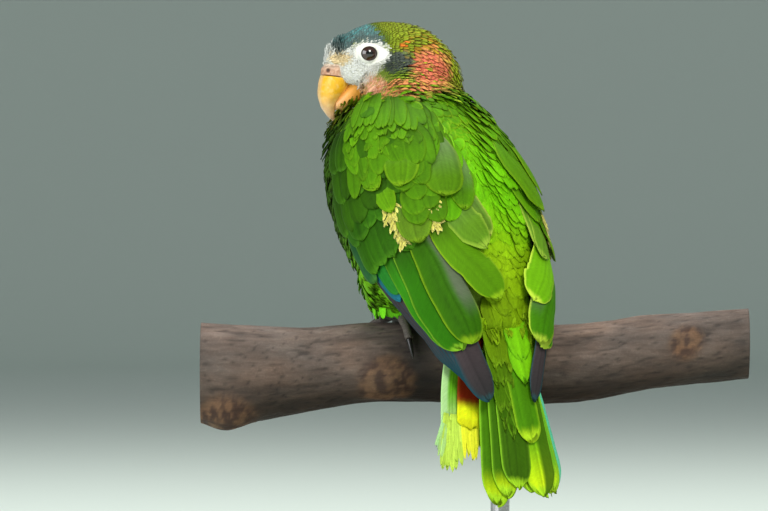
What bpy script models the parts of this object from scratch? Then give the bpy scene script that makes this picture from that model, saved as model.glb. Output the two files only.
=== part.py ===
"""A yellow-billed amazon parrot perched on a short length of branch, with a display stand under it.

Metres, +Z up. X runs along the perch and -Y is the side the bird turns its back to. The origin is the
middle of the stand's underside. Sizes below are in millimetres and are scaled by MM when meshes are made.
The bird's points are measured from the perch's middle line, where the rod meets it.
"""

import math

import bmesh
import bpy
import numpy as np
from mathutils import Vector

MM = 0.001
GAP = 0.35  # between pieces that meet
SEAM = 0.012  # half of the space between the neck and the trunk, in rows of BODY

# Stand
PERCH_HEIGHT = 100.0
BASE_SIZE = (190.0, 170.0, 12.0)
BASE_CORNER = 22.0
CORNER_STEPS = 5
BASE_EDGE = 2.5
ROD_RADIUS = 4.5
ROD_TOP = -6.0  # inside the perch, whose underside it is cut to
ROUND_SIDES = 18

# Perch: x, y, z of the branch's middle line, and its radius
PERCH = (
    (-142.0, 2.0, -4.0, 23.6),
    (-118.0, 1.0, -4.5, 23.0),
    (-90.0, 0.5, -3.0, 20.4),
    (-60.0, 0.0, 0.0, 19.2),
    (-25.0, 0.0, 0.4, 19.2),
    (10.0, 0.0, -0.6, 19.2),
    (42.0, 0.0, 0.6, 18.8),
    (70.0, 1.0, 4.6, 18.0),
    (96.0, 2.0, 7.4, 17.4),
    (118.0, 3.0, 9.5, 17.0),
)
PERCH_RINGS = 25
# Waves in its outline: height, number of waves round it, and turn along it in radians a millimetre
PERCH_WAVES = ((0.25, 3, 0.05), (0.2, 5, -0.09))
# Knots: x, angle round the branch from -Y towards +Z in degrees, width, height
KNOTS = (
    (-54.0, -28.0, 11.0, 2.6),
    (-130.0, -62.0, 12.0, 6.5),
    (88.0, 12.0, 8.0, 2.0),
    (60.0, 175.0, 10.0, 2.6),
)

# Bird: where its middle plane crosses the perch, and the way it faces from +Y towards -X in degrees
BIRD_PLACE = (-20.4, -10.0)
BIRD_YAW = 33.0

# Body cross sections from the head down to the tail: sideways, forward and up of the middle line, half
# width, depth to the back and depth to the breast
BODY = (
    (0.0, 50.0, 148.0, 20.0, 20.0, 20.0),
    (-1.0, 47.5, 134.0, 24.5, 24.0, 29.0),
    (-2.0, 43.0, 120.0, 31.0, 29.0, 45.0),
    (-2.0, 35.0, 101.0, 39.5, 35.5, 49.5),
    (-1.0, 24.0, 80.0, 43.5, 38.5, 48.0),
    (0.0, 12.0, 60.0, 44.5, 36.0, 41.0),
    (0.0, -2.0, 43.0, 41.5, 29.0, 26.5),
    (0.0, -16.0, 29.0, 31.0, 20.0, 8.8),
    (0.0, -27.0, 15.0, 21.0, 11.0, 6.5),
    (0.0, -33.0, 0.0, 18.5, 7.5, 7.0),
    (0.0, -38.0, -16.0, 16.5, 6.0, 6.0),
    (0.0, -42.0, -32.0, 14.0, 5.0, 5.0),
)
NECK_TOP = 0.75  # where the neck starts under the head, in rows of BODY
NECK_STATION = 1.9  # where the neck is parted from the trunk, in rows of BODY
RUMP_STATION = 8.0  # where the trunk ends and the tail feathers begin
TRUNK_RINGS = 14
NECK_RINGS = 4
BODY_SIDES = 24

# Head: its middle in the bird's frame (sideways, forward, up), its turn to the left, and its cross
# sections: distance forward, top, bottom and half width
HEAD_PLACE = (0.0, 50.0, 143.0)
HEAD_TURN = 65.0
HEAD = (
    (32.0, 7.0, -6.0, 6.5),
    (28.5, 12.2, -11.0, 10.5),
    (22.5, 16.8, -15.5, 14.6),
    (13.5, 20.0, -18.5, 18.0),
    (3.0, 20.6, -21.0, 19.6),
    (-7.0, 18.8, -22.5, 20.0),
    (-16.0, 13.8, -23.0, 18.6),
    (-24.0, 5.0, -22.0, 14.6),
    (-29.5, -6.0, -20.5, 8.0),
)
EYE = (15.2, 13.9, 4.4)  # forward, sideways, up
EYE_RADIUS = 5.0
HEAD_RINGS = 13
HEAD_SIDES = 20
HEAD_FULLNESS = 0.9  # under 1, its sides are fuller than an oval's

# Bill cross sections: front point and back point (forward, up) and half width
BILL_UPPER = (
    (38.4, -5.6, 24.2, -7.6, 8.5),
    (39.5, -10.0, 25.0, -11.2, 8.2),
    (39.7, -15.0, 27.4, -15.0, 7.0),
    (38.6, -19.6, 29.8, -18.4, 5.2),
    (36.6, -23.2, 31.2, -21.6, 3.4),
    (34.2, -26.0, 31.4, -24.6, 1.9),
    (32.3, -27.6, 31.2, -26.8, 0.8),
)
BILL_LOWER = (
    (21.0, -7.5, 13.5, -15.5, 7.6),
    (25.0, -11.8, 18.0, -18.6, 7.3),
    (28.0, -15.8, 22.4, -21.0, 6.4),
    (30.2, -18.8, 27.0, -22.4, 4.8),
    (31.2, -20.8, 29.8, -22.6, 3.0),
)
CERE = (
    (38.2, -5.1, 24.4, -7.1, 8.9),
    (37.9, -2.2, 25.0, -3.6, 8.9),
    (37.0, 1.4, 26.0, 0.4, 8.2),
    (35.2, 5.0, 27.0, 3.6, 6.6),
    (33.2, 7.4, 28.0, 6.4, 4.4),
)
NOSTRIL = (34.6, 6.9, -2.0)  # forward, sideways, up
NOSTRIL_RADIUS = 1.5
UPPER_RINGS = 11
LOWER_RINGS = 7
CERE_RINGS = 6
UPPER_SIDES = 14
LOWER_SIDES = 12
BILL_RIDGE = 1.25  # how sharply the upper bill narrows to its ridge
BILL_EDGE = 0.8  # and how full it stays at its cutting edge

# Wing outlines: station, lower edge and upper edge in degrees round the body from its side to the back
WING_COVERTS = (
    (2.0, 24.0, 44.0),
    (2.4, 10.0, 60.0),
    (3.1, 2.0, 70.0),
    (4.1, -6.0, 76.0),
    (5.1, -8.0, 78.0),
    (5.9, -4.0, 76.0),
    (6.4, 2.0, 62.0),
)
WING_SECONDARIES = (
    (4.6, -8.0, 66.0),
    (5.5, -8.0, 82.0),
    (6.3, -6.0, 87.5),
    (7.0, -4.0, 87.0),
    (7.6, 2.0, 80.0),
    (8.2, 12.0, 66.0),
    (8.7, 26.0, 52.0),
)
WING_PRIMARIES = (
    (5.4, -10.0, 50.0),
    (6.6, -12.0, 56.0),
    (7.6, -10.0, 58.0),
    (8.6, -6.0, 60.0),
    (9.4, 4.0, 60.0),
    (10.0, 24.0, 54.0),
)
# Upper edge of the right wing, which lies further out on the back: station and degrees
RIGHT_WING_EDGE = (
    (2.8, 58.0),
    (4.1, 68.0),
    (4.9, 56.0),
    (5.8, 48.0),
    (7.5, 46.0),
    (8.6, 50.0),
    (10.0, 54.0),
)
# Degrees that its lower edge rises to clear the perch, where that starts and over how many rows
RIGHT_WING_LIFT = (18.0, 6.6, 1.4)
RIGHT_WING_TUCK = 0.7  # its flare, as a share of the left one's
LEAST_WING_WIDTH = 12.0  # in degrees
WING_INSET = 0.6  # between the body and the innermost layer
WING_EDGE = 0.5  # thickness of each layer's edges
# Station where the layers part from each other, and over how many rows
LAYERS_PART = (3.2, 1.2)
# How far the lower edge of the folded wing stands off the body: station and millimetres
WING_FLARE = (
    (5.4, 0.0),
    (6.2, 3.5),
    (6.85, 9.5),
    (7.6, 13.0),
    (8.3, 12.5),
    (9.0, 10.0),
    (9.6, 7.5),
)
FLARE_WIDTH = 80.0  # degrees from the wing's lower side over which it stands off
WING_ROWS = 11
WING_COLUMNS = 9
# name, outline, inner and outer height over the body, feather ridges across, ridge height
WING_LAYERS = (
    ("primaries", WING_PRIMARIES, 0.0, 1.4, 4, 0.3),
    ("secondaries", WING_SECONDARIES, 2.1, 3.6, 4, 0.4),
    ("coverts", WING_COVERTS, 4.2, 6.8, 4, 0.4),
)

# Tail: its root in the bird's frame (sideways, forward, up), its slope and its swing to the left; then
# its feathers from the middle pair outwards: sideways place, layer below the top, and length and splay
# of the left and the right one, of which the two outermost left ones hang apart
TAIL_ROOT = (7.2, -28.9, 12.4)
TAIL_PITCH = 75.0
TAIL_SWING = 4.5
TAIL_TOP = 4.9
TAIL_FEATHER_WIDTH = 14.0
TAIL_FEATHER_THICKNESS = 0.5
TAIL_LAYER = 1.7
TAIL_ROOT_SPREAD = 0.6  # sideways place of a root, as a share of the feather's
RIGHT_TAIL_DROP = 0.5  # right feathers lie this share of a layer below the left ones
BLADE_ROWS = 7
BLADE_COLUMNS = 4
BLADE_CROWN = 0.02  # rise of a blade's middle, as a share of its width
QUILL_WIDTH = 0.45  # width at the root, as a share of the full width
BLADE_TAPER = 1.8  # how soon the blade reaches its full width
TIP_START = 0.88  # where the round tip starts, as a share of the length
TAIL_FEATHERS = (
    ("middle", 3.0, 0, (80.0, 1.5), (74.0, 1.5)),
    ("inner", 5.0, 1, (80.0, 3.5), (76.0, 3.5)),
    ("second", 7.0, 2, (79.0, 5.5), (77.0, 5.5)),
    ("third", 9.0, 3, (77.0, 7.5), (77.0, 7.5)),
    ("fourth", 10.0, 4, (62.0, 19.0), (75.0, 9.0)),
    ("outer", 11.0, 5, (70.0, 27.0), (72.0, 10.5)),
)
# name, sideways place, height over the root, how far up the tail they start, length, width, thickness
TAIL_COVERTS = (
    ("upper", -2.5, 6.1, 4.2, 52.0, 22.0, 1.2),
    ("under", 0.0, -6.9, 0.0, 38.0, 27.0, 1.2),
)

# Legs and feet: name, x of the foot on the perch, and the hip in the bird's frame
LEGS = (
    ("left", -48.2, (-29.0, 11.0, 46.0)),
    ("right", -0.4, (26.0, 10.0, 46.0)),
)
THIGH_RADII = (15.0, 15.0, 13.0, 10.5)
THIGH_RINGS = 7
THIGH_SIDES = 16
KNEE_OUT = 2.0
THIGH_FOOT_LEVEL = 27.0
SHANK_RADII = (3.2, 3.0, 2.8, 2.8)
ANKLE_RISE = 2.4  # of its middle over the toes' undersides
SHANK_GAP = 2.0  # below the feathered thigh
TOE_CLEARANCE = 0.75  # between toes and perch
FOOT_TURN = 20.0  # of both feet on the perch, in degrees
# name, heading from +Y towards the outer side of the foot in degrees, length, radius
TOES = (
    ("front_inner", -16.0, 22.0, 2.5),
    ("front_outer", 18.0, 29.0, 2.8),
    ("back_inner", 194.0, 14.0, 2.3),
    ("back_outer", 172.0, 24.0, 2.6),
)
TOE_TAPER = 0.72  # radius at a toe's tip, as a share of the one at its root
TOE_SIDES = 10
CLAW_LENGTH = 9.0
CLAW_RADIUS = 1.5
CLAW_RISE = 0.6  # of the claw over where a toe of its radius would lie
CLAW_RINGS = 5
CLAW_SIDES = 6
FOOT_VOXEL = 0.8
FOOT_FACES_KEPT = 0.08

SIDES = {"left": -1.0, "right": 1.0}
NO_PATH_RUNS_HERE = (0.35, 0.2, 0.91)  # a direction that no tube takes, to turn their sections by
COLOURS = {
    "green": ((0.07, 0.28, 0.015, 1), 0.55),
    "crown": ((0.12, 0.25, 0.03, 1), 0.6),
    "slate": ((0.03, 0.035, 0.05, 1), 0.5),
    "yellow_green": ((0.35, 0.55, 0.02, 1), 0.5),
    "horn": ((0.85, 0.5, 0.12, 1), 0.35),
    "cere": ((0.7, 0.45, 0.38, 1), 0.5),
    "eye": ((0.012, 0.007, 0.005, 1), 0.05),
    "foot": ((0.45, 0.36, 0.3, 1), 0.6),
    "claw": ((0.05, 0.045, 0.04, 1), 0.3),
    "bark": ((0.12, 0.08, 0.065, 1), 0.85),
    "wood": ((0.25, 0.15, 0.08, 1), 0.4),
    "steel": ((0.45, 0.45, 0.46, 1), 0.3),
}


# ---------------------------------------------------------------- curves and meshes


def read_rows(rows, at):
    """Rows of numbers read along a Catmull-Rom curve, at places counted in rows."""
    rows = np.array(rows, float)
    padded = np.vstack([2 * rows[0] - rows[1], rows, 2 * rows[-1] - rows[-2]])
    at = np.atleast_1d(np.asarray(at, float))
    first = np.clip(at.astype(int), 0, len(rows) - 2)
    f = (at - first)[:, None]
    a, b, c, d = (padded[first + k] for k in range(4))
    return 0.5 * (2 * b + (c - a) * f + (2 * a - 5 * b + 4 * c - d) * f**2 + (3 * b - a - 3 * c + d) * f**3)


def unit(v):
    """Vectors of length 1."""
    return v / np.linalg.norm(v, axis=-1, keepdims=True)


def full_turn(sides):
    """Angles round a circle."""
    return np.linspace(0, 2 * math.pi, sides, endpoint=False)


def smooth_step(x):
    """0 below 0 and 1 above 1, with an even turn between."""
    x = np.clip(x, 0.0, 1.0)
    return x * x * (3 - 2 * x)


def node(name, points, faces, colour, smooth=True):
    """An object of its own from points in millimetres, hung from the perch level."""
    mesh = bpy.data.meshes.new(name)
    mesh.from_pydata([tuple(p * MM) for p in np.asarray(points, float)], [], faces)
    bm = bmesh.new()
    bm.from_mesh(mesh)
    bmesh.ops.recalc_face_normals(bm, faces=bm.faces)
    bm.to_mesh(mesh)
    bm.free()
    obj = bpy.data.objects.new(name, mesh)
    bpy.context.scene.collection.objects.link(obj)
    obj.parent = perch_level
    mesh.materials.append(material(colour))
    if smooth:
        mesh.shade_smooth()
    return obj


def material(name):
    """The material of that colour, made when it is first asked for."""
    found = bpy.data.materials.get(name)
    if found:
        return found
    made = bpy.data.materials.new(name)
    made.use_nodes = True
    shader = made.node_tree.nodes["Principled BSDF"]
    colour, roughness = COLOURS[name]
    shader.inputs["Base Color"].default_value = colour
    shader.inputs["Roughness"].default_value = roughness
    shader.inputs["Metallic"].default_value = 1.0 if name == "steel" else 0.0
    return made


def loft(rings):
    """Points and faces of a closed body through rings of equal size, with flat ends."""
    rings = np.asarray(rings, float)
    count, sides = rings.shape[:2]
    faces = []
    for i in range(count - 1):
        for j in range(sides):
            k = (j + 1) % sides
            faces.append((i * sides + j, i * sides + k, (i + 1) * sides + k, (i + 1) * sides + j))
    faces.append(tuple(range(sides)))
    faces.append(tuple(range((count - 1) * sides, count * sides)))
    return rings.reshape(-1, 3), faces


def shell(outer, inner):
    """Points and faces of a closed sheet between two grids of points."""
    rows, columns = outer.shape[:2]
    size = rows * columns
    faces = []

    def at(i, j, below):
        return i * columns + j + (size if below else 0)

    for i in range(rows - 1):
        for j in range(columns - 1):
            faces.append((at(i, j, 0), at(i, j + 1, 0), at(i + 1, j + 1, 0), at(i + 1, j, 0)))
            faces.append((at(i, j, 1), at(i + 1, j, 1), at(i + 1, j + 1, 1), at(i, j + 1, 1)))
    border = [(0, j) for j in range(columns)]
    border += [(i, columns - 1) for i in range(1, rows)]
    border += [(rows - 1, j) for j in range(columns - 2, -1, -1)]
    border += [(i, 0) for i in range(rows - 2, 0, -1)]
    for a, b in zip(border, border[1:] + border[:1]):
        faces.append((at(*a, 0), at(*a, 1), at(*b, 1), at(*b, 0)))
    return np.concatenate([outer.reshape(-1, 3), inner.reshape(-1, 3)]), faces


def tube(path, radii, sides):
    """Points and faces of a round tube along a path, with closed ends."""
    path, radii = np.asarray(path, float), np.asarray(radii, float)
    along = unit(np.gradient(path, axis=0))
    side = unit(np.cross(along, NO_PATH_RUNS_HERE))
    other = np.cross(along, side)
    turn = full_turn(sides)
    circle = np.cos(turn)[:, None] * side[:, None] + np.sin(turn)[:, None] * other[:, None]
    return loft(path[:, None] + circle * radii[:, None, None])


def cutter(obj, points, faces, name):
    """Cuts a closed shape away from an object."""
    tool = node(name, points, faces, "green")
    tool.hide_render = True
    tool.display_type = "WIRE"
    cut = obj.modifiers.new(name, "BOOLEAN")
    cut.operation = "DIFFERENCE"
    cut.object = tool


# ---------------------------------------------------------------- body


def from_bird(points):
    """Points given sideways to the bird's right, forward and up."""
    yaw = math.radians(BIRD_YAW)
    right = np.array([math.cos(yaw), math.sin(yaw), 0.0])
    forward = np.array([-math.sin(yaw), math.cos(yaw), 0.0])
    points = np.asarray(points, float)
    level = points[..., :1] * right + points[..., 1:2] * forward
    return level + np.concatenate([points[..., :2] * 0 + BIRD_PLACE, points[..., 2:]], -1)


def body_points(station, angle, height=0.0):
    """Points round the body, at a station in rows of BODY and an angle in degrees, which runs from the
    right side over the back to the left side."""
    station, angle, height = (a.astype(float) for a in np.broadcast_arrays(station, angle, height))
    shape = station.shape
    at, turn, height = station.ravel(), np.radians(angle.ravel()), height.ravel()
    row = read_rows(BODY, at)
    step = 0.02
    towards_head = unit(read_rows(BODY, at - step)[:, 1:3] - read_rows(BODY, at + step)[:, 1:3])
    depth = np.where(np.sin(turn) > 0, row[:, 4], row[:, 5]) + height
    depth = depth * np.sin(turn)
    sideways = row[:, 0] + (row[:, 3] + height) * np.cos(turn)
    forward = row[:, 1] - depth * towards_head[:, 1]
    up = row[:, 2] + depth * towards_head[:, 0]
    return from_bird(np.stack([sideways, forward, up], 1)).reshape(*shape, 3)


def body_length(first, last, rings, grow=0.0):
    """A length of the body between two stations."""
    stations = np.linspace(first, last, rings)
    angles = np.linspace(0, 360, BODY_SIDES, endpoint=False)
    return loft(body_points(stations[:, None], angles[None, :], grow))


def trunk_shape(grow=0.0):
    return body_length(NECK_STATION + SEAM, RUMP_STATION, TRUNK_RINGS, grow)


def make_body():
    trunk = node("trunk", *trunk_shape(), "green")
    neck = node("neck", *body_length(NECK_TOP, NECK_STATION - SEAM, NECK_RINGS), "green")
    cutter(trunk, *head_shape(GAP), "trunk_clear_of_head")
    cutter(neck, *head_shape(GAP), "neck_seat_for_head")
    cutter(neck, *upper_bill(2 * GAP), "neck_clear_of_bill")
    cutter(neck, *lower_bill(2 * GAP), "neck_clear_of_jaw")


def wing_lines(side, outline):
    """Rows of station, lower edge and upper edge down a wing."""
    lines = read_rows(outline, np.linspace(0, len(outline) - 1, WING_ROWS))
    if side > 0:
        rise, start, reach = RIGHT_WING_LIFT
        highest = np.interp(lines[:, 0], *np.transpose(RIGHT_WING_EDGE))
        lines[:, 2] = np.minimum(lines[:, 2], highest)
        lines[:, 1] += rise * smooth_step((lines[:, 0] - start) / reach)
        lines[:, 1] = np.minimum(lines[:, 1], lines[:, 2] - LEAST_WING_WIDTH)
    return lines


def wing_shell(side, outline, inner, outer, ridges, ridge_height):
    """A closed sheet over the body with the steps of overlapping feathers across it."""
    lines = wing_lines(side, outline)
    station = lines[:, :1]
    across = np.linspace(0, 1, WING_COLUMNS)
    angle = lines[:, 1:2] + (lines[:, 2:3] - lines[:, 1:2]) * across
    flare = np.interp(station, *np.transpose(WING_FLARE)) * (RIGHT_WING_TUCK if side > 0 else 1.0)
    stand_off = flare * (1 - smooth_step(np.minimum(angle, 180 - angle) / FLARE_WIDTH))
    if side < 0:
        angle = 180 - angle
    # The sheet is full in its middle and thins towards its sides and its front edge.
    full_across = np.sin(np.pi * np.clip(across, 0.04, 0.96)) ** 0.35
    full_along = np.sin(np.pi * np.clip(np.linspace(0, 1, WING_ROWS), 0.01, 0.9)) ** 0.5
    full = full_across * full_along[:, None]
    ridge = ridge_height * (1 - (across * ridges) % 1.0)
    thickness = WING_EDGE + (outer - inner - WING_EDGE - ridge_height) * full + ridge
    start, reach = LAYERS_PART
    low = WING_INSET + inner * smooth_step((station - start) / reach) + stand_off
    thickness = thickness + (WING_INSET + inner + stand_off - low) * full
    station = np.repeat(station, WING_COLUMNS, axis=1)
    return shell(body_points(station, angle, low + thickness), body_points(station, angle, low))


def make_wings():
    for side_name, side in SIDES.items():
        for layer, outline, inner, outer, ridges, ridge_height in WING_LAYERS:
            colour = "slate" if layer == "primaries" else "green"
            sheet = wing_shell(side, outline, inner, outer, ridges, ridge_height)
            node(f"wing_{side_name}_{layer}", *sheet, colour)


# ---------------------------------------------------------------- head


def from_head(points):
    """Points given forward, to the left and up in the head."""
    turn = math.radians(HEAD_TURN)
    points = np.asarray(points, float)
    forward, left, up = points[..., :1], points[..., 1:2], points[..., 2:]
    sideways = -forward * math.sin(turn) - left * math.cos(turn)
    ahead = forward * math.cos(turn) - left * math.sin(turn)
    return from_bird(np.concatenate([sideways, ahead, up], -1) + HEAD_PLACE)


def head_shape(grow=0.0):
    """The head's closed body, grown on all sides."""
    rings = []
    turn = full_turn(HEAD_SIDES)
    round_out = np.sign(np.cos(turn)) * np.abs(np.cos(turn)) ** HEAD_FULLNESS
    for forward, top, bottom, wide in read_rows(HEAD, np.linspace(0, len(HEAD) - 1, HEAD_RINGS)):
        middle = (top + bottom) / 2
        half = (top - bottom) / 2 + grow
        ring = [np.full(HEAD_SIDES, forward), round_out * (wide + grow), middle + half * np.sin(turn)]
        rings.append(np.stack(ring, 1))
    rings[0][:, 0] += grow
    rings[-1][:, 0] -= grow
    return loft(from_head(rings))


def bill_shape(rows, count, sides, grow=0.0, sharp=1.0):
    """A closed body through rings between a front and a back point, narrowed to the front by sharp."""
    rings = []
    turn = full_turn(sides)
    wide_by = np.abs(np.sin(turn)) ** np.where(np.cos(turn) > 0, sharp, BILL_EDGE)
    wide_by = np.sign(np.sin(turn)) * wide_by
    for front_h, front_v, back_h, back_v, wide in read_rows(rows, np.linspace(0, len(rows) - 1, count)):
        front = np.array([front_h, 0, front_v])
        back = np.array([back_h, 0, back_v])
        half = (front - back) / 2
        half = half * (1 + grow / np.linalg.norm(half))
        across = (wide_by * (wide + grow))[:, None] * np.array([0, 1, 0])
        rings.append((front + back) / 2 + np.cos(turn)[:, None] * half + across)
    return loft(from_head(rings))


def upper_bill(grow=0.0, sharp=1.0):
    return bill_shape(BILL_UPPER, UPPER_RINGS, UPPER_SIDES, grow, sharp)


def lower_bill(grow=0.0):
    return bill_shape(BILL_LOWER, LOWER_RINGS, LOWER_SIDES, grow)


def ball(centre, radius, sides=14):
    """A closed ball with small flat poles."""
    lift = np.radians(np.linspace(-86, 86, sides // 2 + 1))[:, None]
    turn = full_turn(sides)
    rings = [np.cos(lift) * np.cos(turn), np.cos(lift) * np.sin(turn), np.sin(lift) + 0 * turn]
    return loft(np.asarray(centre) + radius * np.stack(rings, -1))


def make_head():
    head = node("head", *head_shape(), "crown")
    upper = node("bill_upper", *upper_bill(sharp=BILL_RIDGE), "horn")
    lower = node("bill_lower", *lower_bill(), "horn")
    cere = node("cere", *bill_shape(CERE, CERE_RINGS, UPPER_SIDES), "cere")
    cutter(upper, *head_shape(GAP), "bill_seat_on_head")
    cutter(lower, *head_shape(GAP), "jaw_seat_on_head")
    cutter(lower, *upper_bill(GAP, BILL_RIDGE), "jaw_seat_in_bill")
    cutter(cere, *head_shape(GAP), "cere_seat_on_head")
    for side_name, side in SIDES.items():
        sideways = -side
        eye = from_head((EYE[0], sideways * EYE[1], EYE[2]))
        node(f"eye_{side_name}", *ball(eye, EYE_RADIUS), "eye")
        cutter(head, *ball(eye, EYE_RADIUS + GAP), f"eye_socket_{side_name}")
        nostril = from_head((NOSTRIL[0], sideways * NOSTRIL[1], NOSTRIL[2]))
        cutter(cere, *ball(nostril, NOSTRIL_RADIUS, 8), f"nostril_{side_name}")


# ---------------------------------------------------------------- tail


def tail_directions():
    """Sideways, down the tail, and out of its upper face, in the bird's frame."""
    pitch = math.radians(TAIL_PITCH)
    down = np.array([0.0, -math.cos(pitch), -math.sin(pitch)])
    out = np.array([0.0, -math.sin(pitch), math.cos(pitch)])
    return np.array([1.0, 0.0, 0.0]), down, out


def blade(root, splay, length, width, thickness):
    """A feather down the tail from a root in the bird's frame: a crowned strip with a round tip."""
    right, down, out = tail_directions()
    turn = math.radians(splay)
    along = math.cos(turn) * down + math.sin(turn) * right
    side = math.cos(turn) * right - math.sin(turn) * down
    s = np.sin(np.linspace(0, math.pi / 2, BLADE_ROWS))
    widen = np.sin(np.clip(s * BLADE_TAPER, 0, 1) * math.pi / 2)
    half = width / 2 * (QUILL_WIDTH + (1 - QUILL_WIDTH) * widen)
    half = half * np.sqrt(1 - np.clip((s - TIP_START) / (1 - TIP_START), 0, 0.97) ** 2)
    across = np.linspace(-1, 1, BLADE_COLUMNS)
    line = root + s[:, None] * length * along
    grid = line[:, None] + (half[:, None] * across)[..., None] * side
    crown = (BLADE_CROWN * width * (1 - across**2))[None, :, None] * out
    return shell(from_bird(grid + crown + thickness * out), from_bird(grid + crown))


def make_tail():
    right, down, out = tail_directions()
    for side_name, side in SIDES.items():
        drop = RIGHT_TAIL_DROP if side > 0 else 0.0
        for name, place, layer, *reach in TAIL_FEATHERS:
            length, splay = reach[side > 0]
            height = TAIL_TOP - (layer + drop) * TAIL_LAYER
            root = TAIL_ROOT + side * place * TAIL_ROOT_SPREAD * right + height * out
            splay = side * splay - TAIL_SWING
            shape = blade(root, splay, length, TAIL_FEATHER_WIDTH, TAIL_FEATHER_THICKNESS)
            node(f"tail_{side_name}_{name}", *shape, "green")
    for name, place, height, start, length, width, thickness in TAIL_COVERTS:
        root = TAIL_ROOT + place * right + height * out - start * down
        node(f"tail_coverts_{name}", *blade(root, -TAIL_SWING, length, width, thickness), "yellow_green")


# ---------------------------------------------------------------- legs


def perch_at(x):
    """The perch's middle point and radius at a place along it."""
    places = np.linspace(0, len(PERCH) - 1, 400)
    rows = read_rows(PERCH, places)
    nearest = rows[np.argmin(np.abs(rows[:, 0] - x))]
    return nearest[:3], nearest[3]


def toe_path(foot_x, heading, length, lift, first=0.0, count=9):
    """Points over the perch from its top, heading from +Y towards -X, wrapped round it."""
    turn = math.radians(heading)
    arc = np.linspace(first, length, count)
    x = foot_x - arc * math.sin(turn)
    points = []
    for place, way in zip(x, arc * math.cos(turn)):
        centre, radius = perch_at(place)
        reach = radius + lift
        angle = way / reach
        points.append((place, centre[1] + reach * math.sin(angle), centre[2] + reach * math.cos(angle)))
    return np.array(points)


def make_foot(name, parts):
    """Tarsus and toes grown into one body."""
    points, faces = [], []
    for path, radii in parts:
        p, f = tube(path, radii, TOE_SIDES)
        faces += [tuple(i + sum(len(q) for q in points) for i in face) for face in f]
        points.append(p)
    foot = node(f"foot_{name}", np.concatenate(points), faces, "foot")
    grow = foot.modifiers.new("one_body", "REMESH")
    grow.mode = "VOXEL"
    grow.voxel_size = FOOT_VOXEL * MM
    thin_out = foot.modifiers.new("fewer_faces", "DECIMATE")
    thin_out.ratio = FOOT_FACES_KEPT


def thigh_shape(hip, knee):
    """A feathered thigh of level round sections from the hip to the knee."""
    along = np.linspace(0, 1, len(THIGH_RADII))[:, None]
    line = np.hstack([hip + (knee - hip) * along, np.array(THIGH_RADII)[:, None]])
    rows = read_rows(line, np.linspace(0, len(THIGH_RADII) - 1, THIGH_RINGS))
    turn = full_turn(THIGH_SIDES)
    circle = np.stack([np.cos(turn), np.sin(turn), 0 * turn], 1)
    return loft(rows[:, None, :3] + rows[:, None, 3:] * circle)


def make_claw(name, foot_x, heading, toe_length):
    lift = CLAW_RADIUS + TOE_CLEARANCE + CLAW_RISE
    path = toe_path(foot_x, heading, toe_length + CLAW_LENGTH, lift, toe_length + GAP, CLAW_RINGS)
    radii = CLAW_RADIUS * np.sqrt(np.linspace(1, 0.04, CLAW_RINGS))
    node(name, *tube(path, radii, CLAW_SIDES), "claw")


def make_legs():
    for name, foot_x, hip in LEGS:
        centre, radius = perch_at(foot_x)
        ankle = np.array([foot_x, 0.0, centre[2] + radius + TOE_CLEARANCE + ANKLE_RISE])
        knee = np.array([foot_x + SIDES[name] * KNEE_OUT, 0.0, THIGH_FOOT_LEVEL])
        thigh = node(f"thigh_{name}", *thigh_shape(from_bird(hip), knee), "green")
        cutter(thigh, *trunk_shape(1.5 * GAP), f"thigh_seat_{name}")
        shank = read_rows([ankle, knee - (0, 0, SHANK_GAP + GAP)], np.linspace(0, 1, len(SHANK_RADII)))
        parts = [(shank, SHANK_RADII)]
        for toe, splay, length, thick in TOES:
            heading = FOOT_TURN - SIDES[name] * splay
            path = toe_path(foot_x, heading, length, thick + TOE_CLEARANCE)
            parts.append((path, np.linspace(thick, thick * TOE_TAPER, len(path))))
            make_claw(f"claw_{name}_{toe}", foot_x, heading, length)
        make_foot(name, parts)


# ---------------------------------------------------------------- perch and stand


def perch_shape(grow=0.0):
    """The branch as one closed body with its knots."""
    rings = []
    turn = full_turn(ROUND_SIDES)
    for x, y, z, radius in read_rows(PERCH, np.linspace(0, len(PERCH) - 1, PERCH_RINGS)):
        swell = radius + grow
        for high, waves, twist in PERCH_WAVES:
            swell = swell + high * np.sin(waves * turn + twist * x)
        for knot_x, knot_angle, wide, high in KNOTS:
            turned = (turn - math.radians(knot_angle) + math.pi) % (2 * math.pi) - math.pi
            swell = swell + high * np.exp(-((x - knot_x) ** 2 + (radius * turned) ** 2) / wide**2)
        ring = [np.full(ROUND_SIDES, x), y - swell * np.cos(turn), z + swell * np.sin(turn)]
        rings.append(np.stack(ring, 1))
    return loft(rings)


def base_shape():
    """The stand's base: a board with round corners and a softened upper edge."""
    width, depth, height = BASE_SIZE
    corner_x = width / 2 - BASE_CORNER
    corner_y = depth / 2 - BASE_CORNER
    outline = []
    for quarter, (sx, sy) in enumerate(((1, 1), (-1, 1), (-1, -1), (1, -1))):
        for step in range(CORNER_STEPS + 1):
            turn = math.pi / 2 * (quarter + step / CORNER_STEPS)
            x = sx * corner_x + BASE_CORNER * math.cos(turn)
            y = sy * corner_y + BASE_CORNER * math.sin(turn)
            outline.append((x, y))
    rings = []
    soft = 0.3 * BASE_EDGE
    for inset, drop in ((0.0, height), (0.0, BASE_EDGE), (soft, soft), (BASE_EDGE, 0.0)):
        flat = np.array(outline) * (1 - 2 * inset / width, 1 - 2 * inset / depth)
        rings.append(np.column_stack([flat, np.full(len(flat), height - drop - PERCH_HEIGHT)]))
    return loft(rings)


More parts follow.
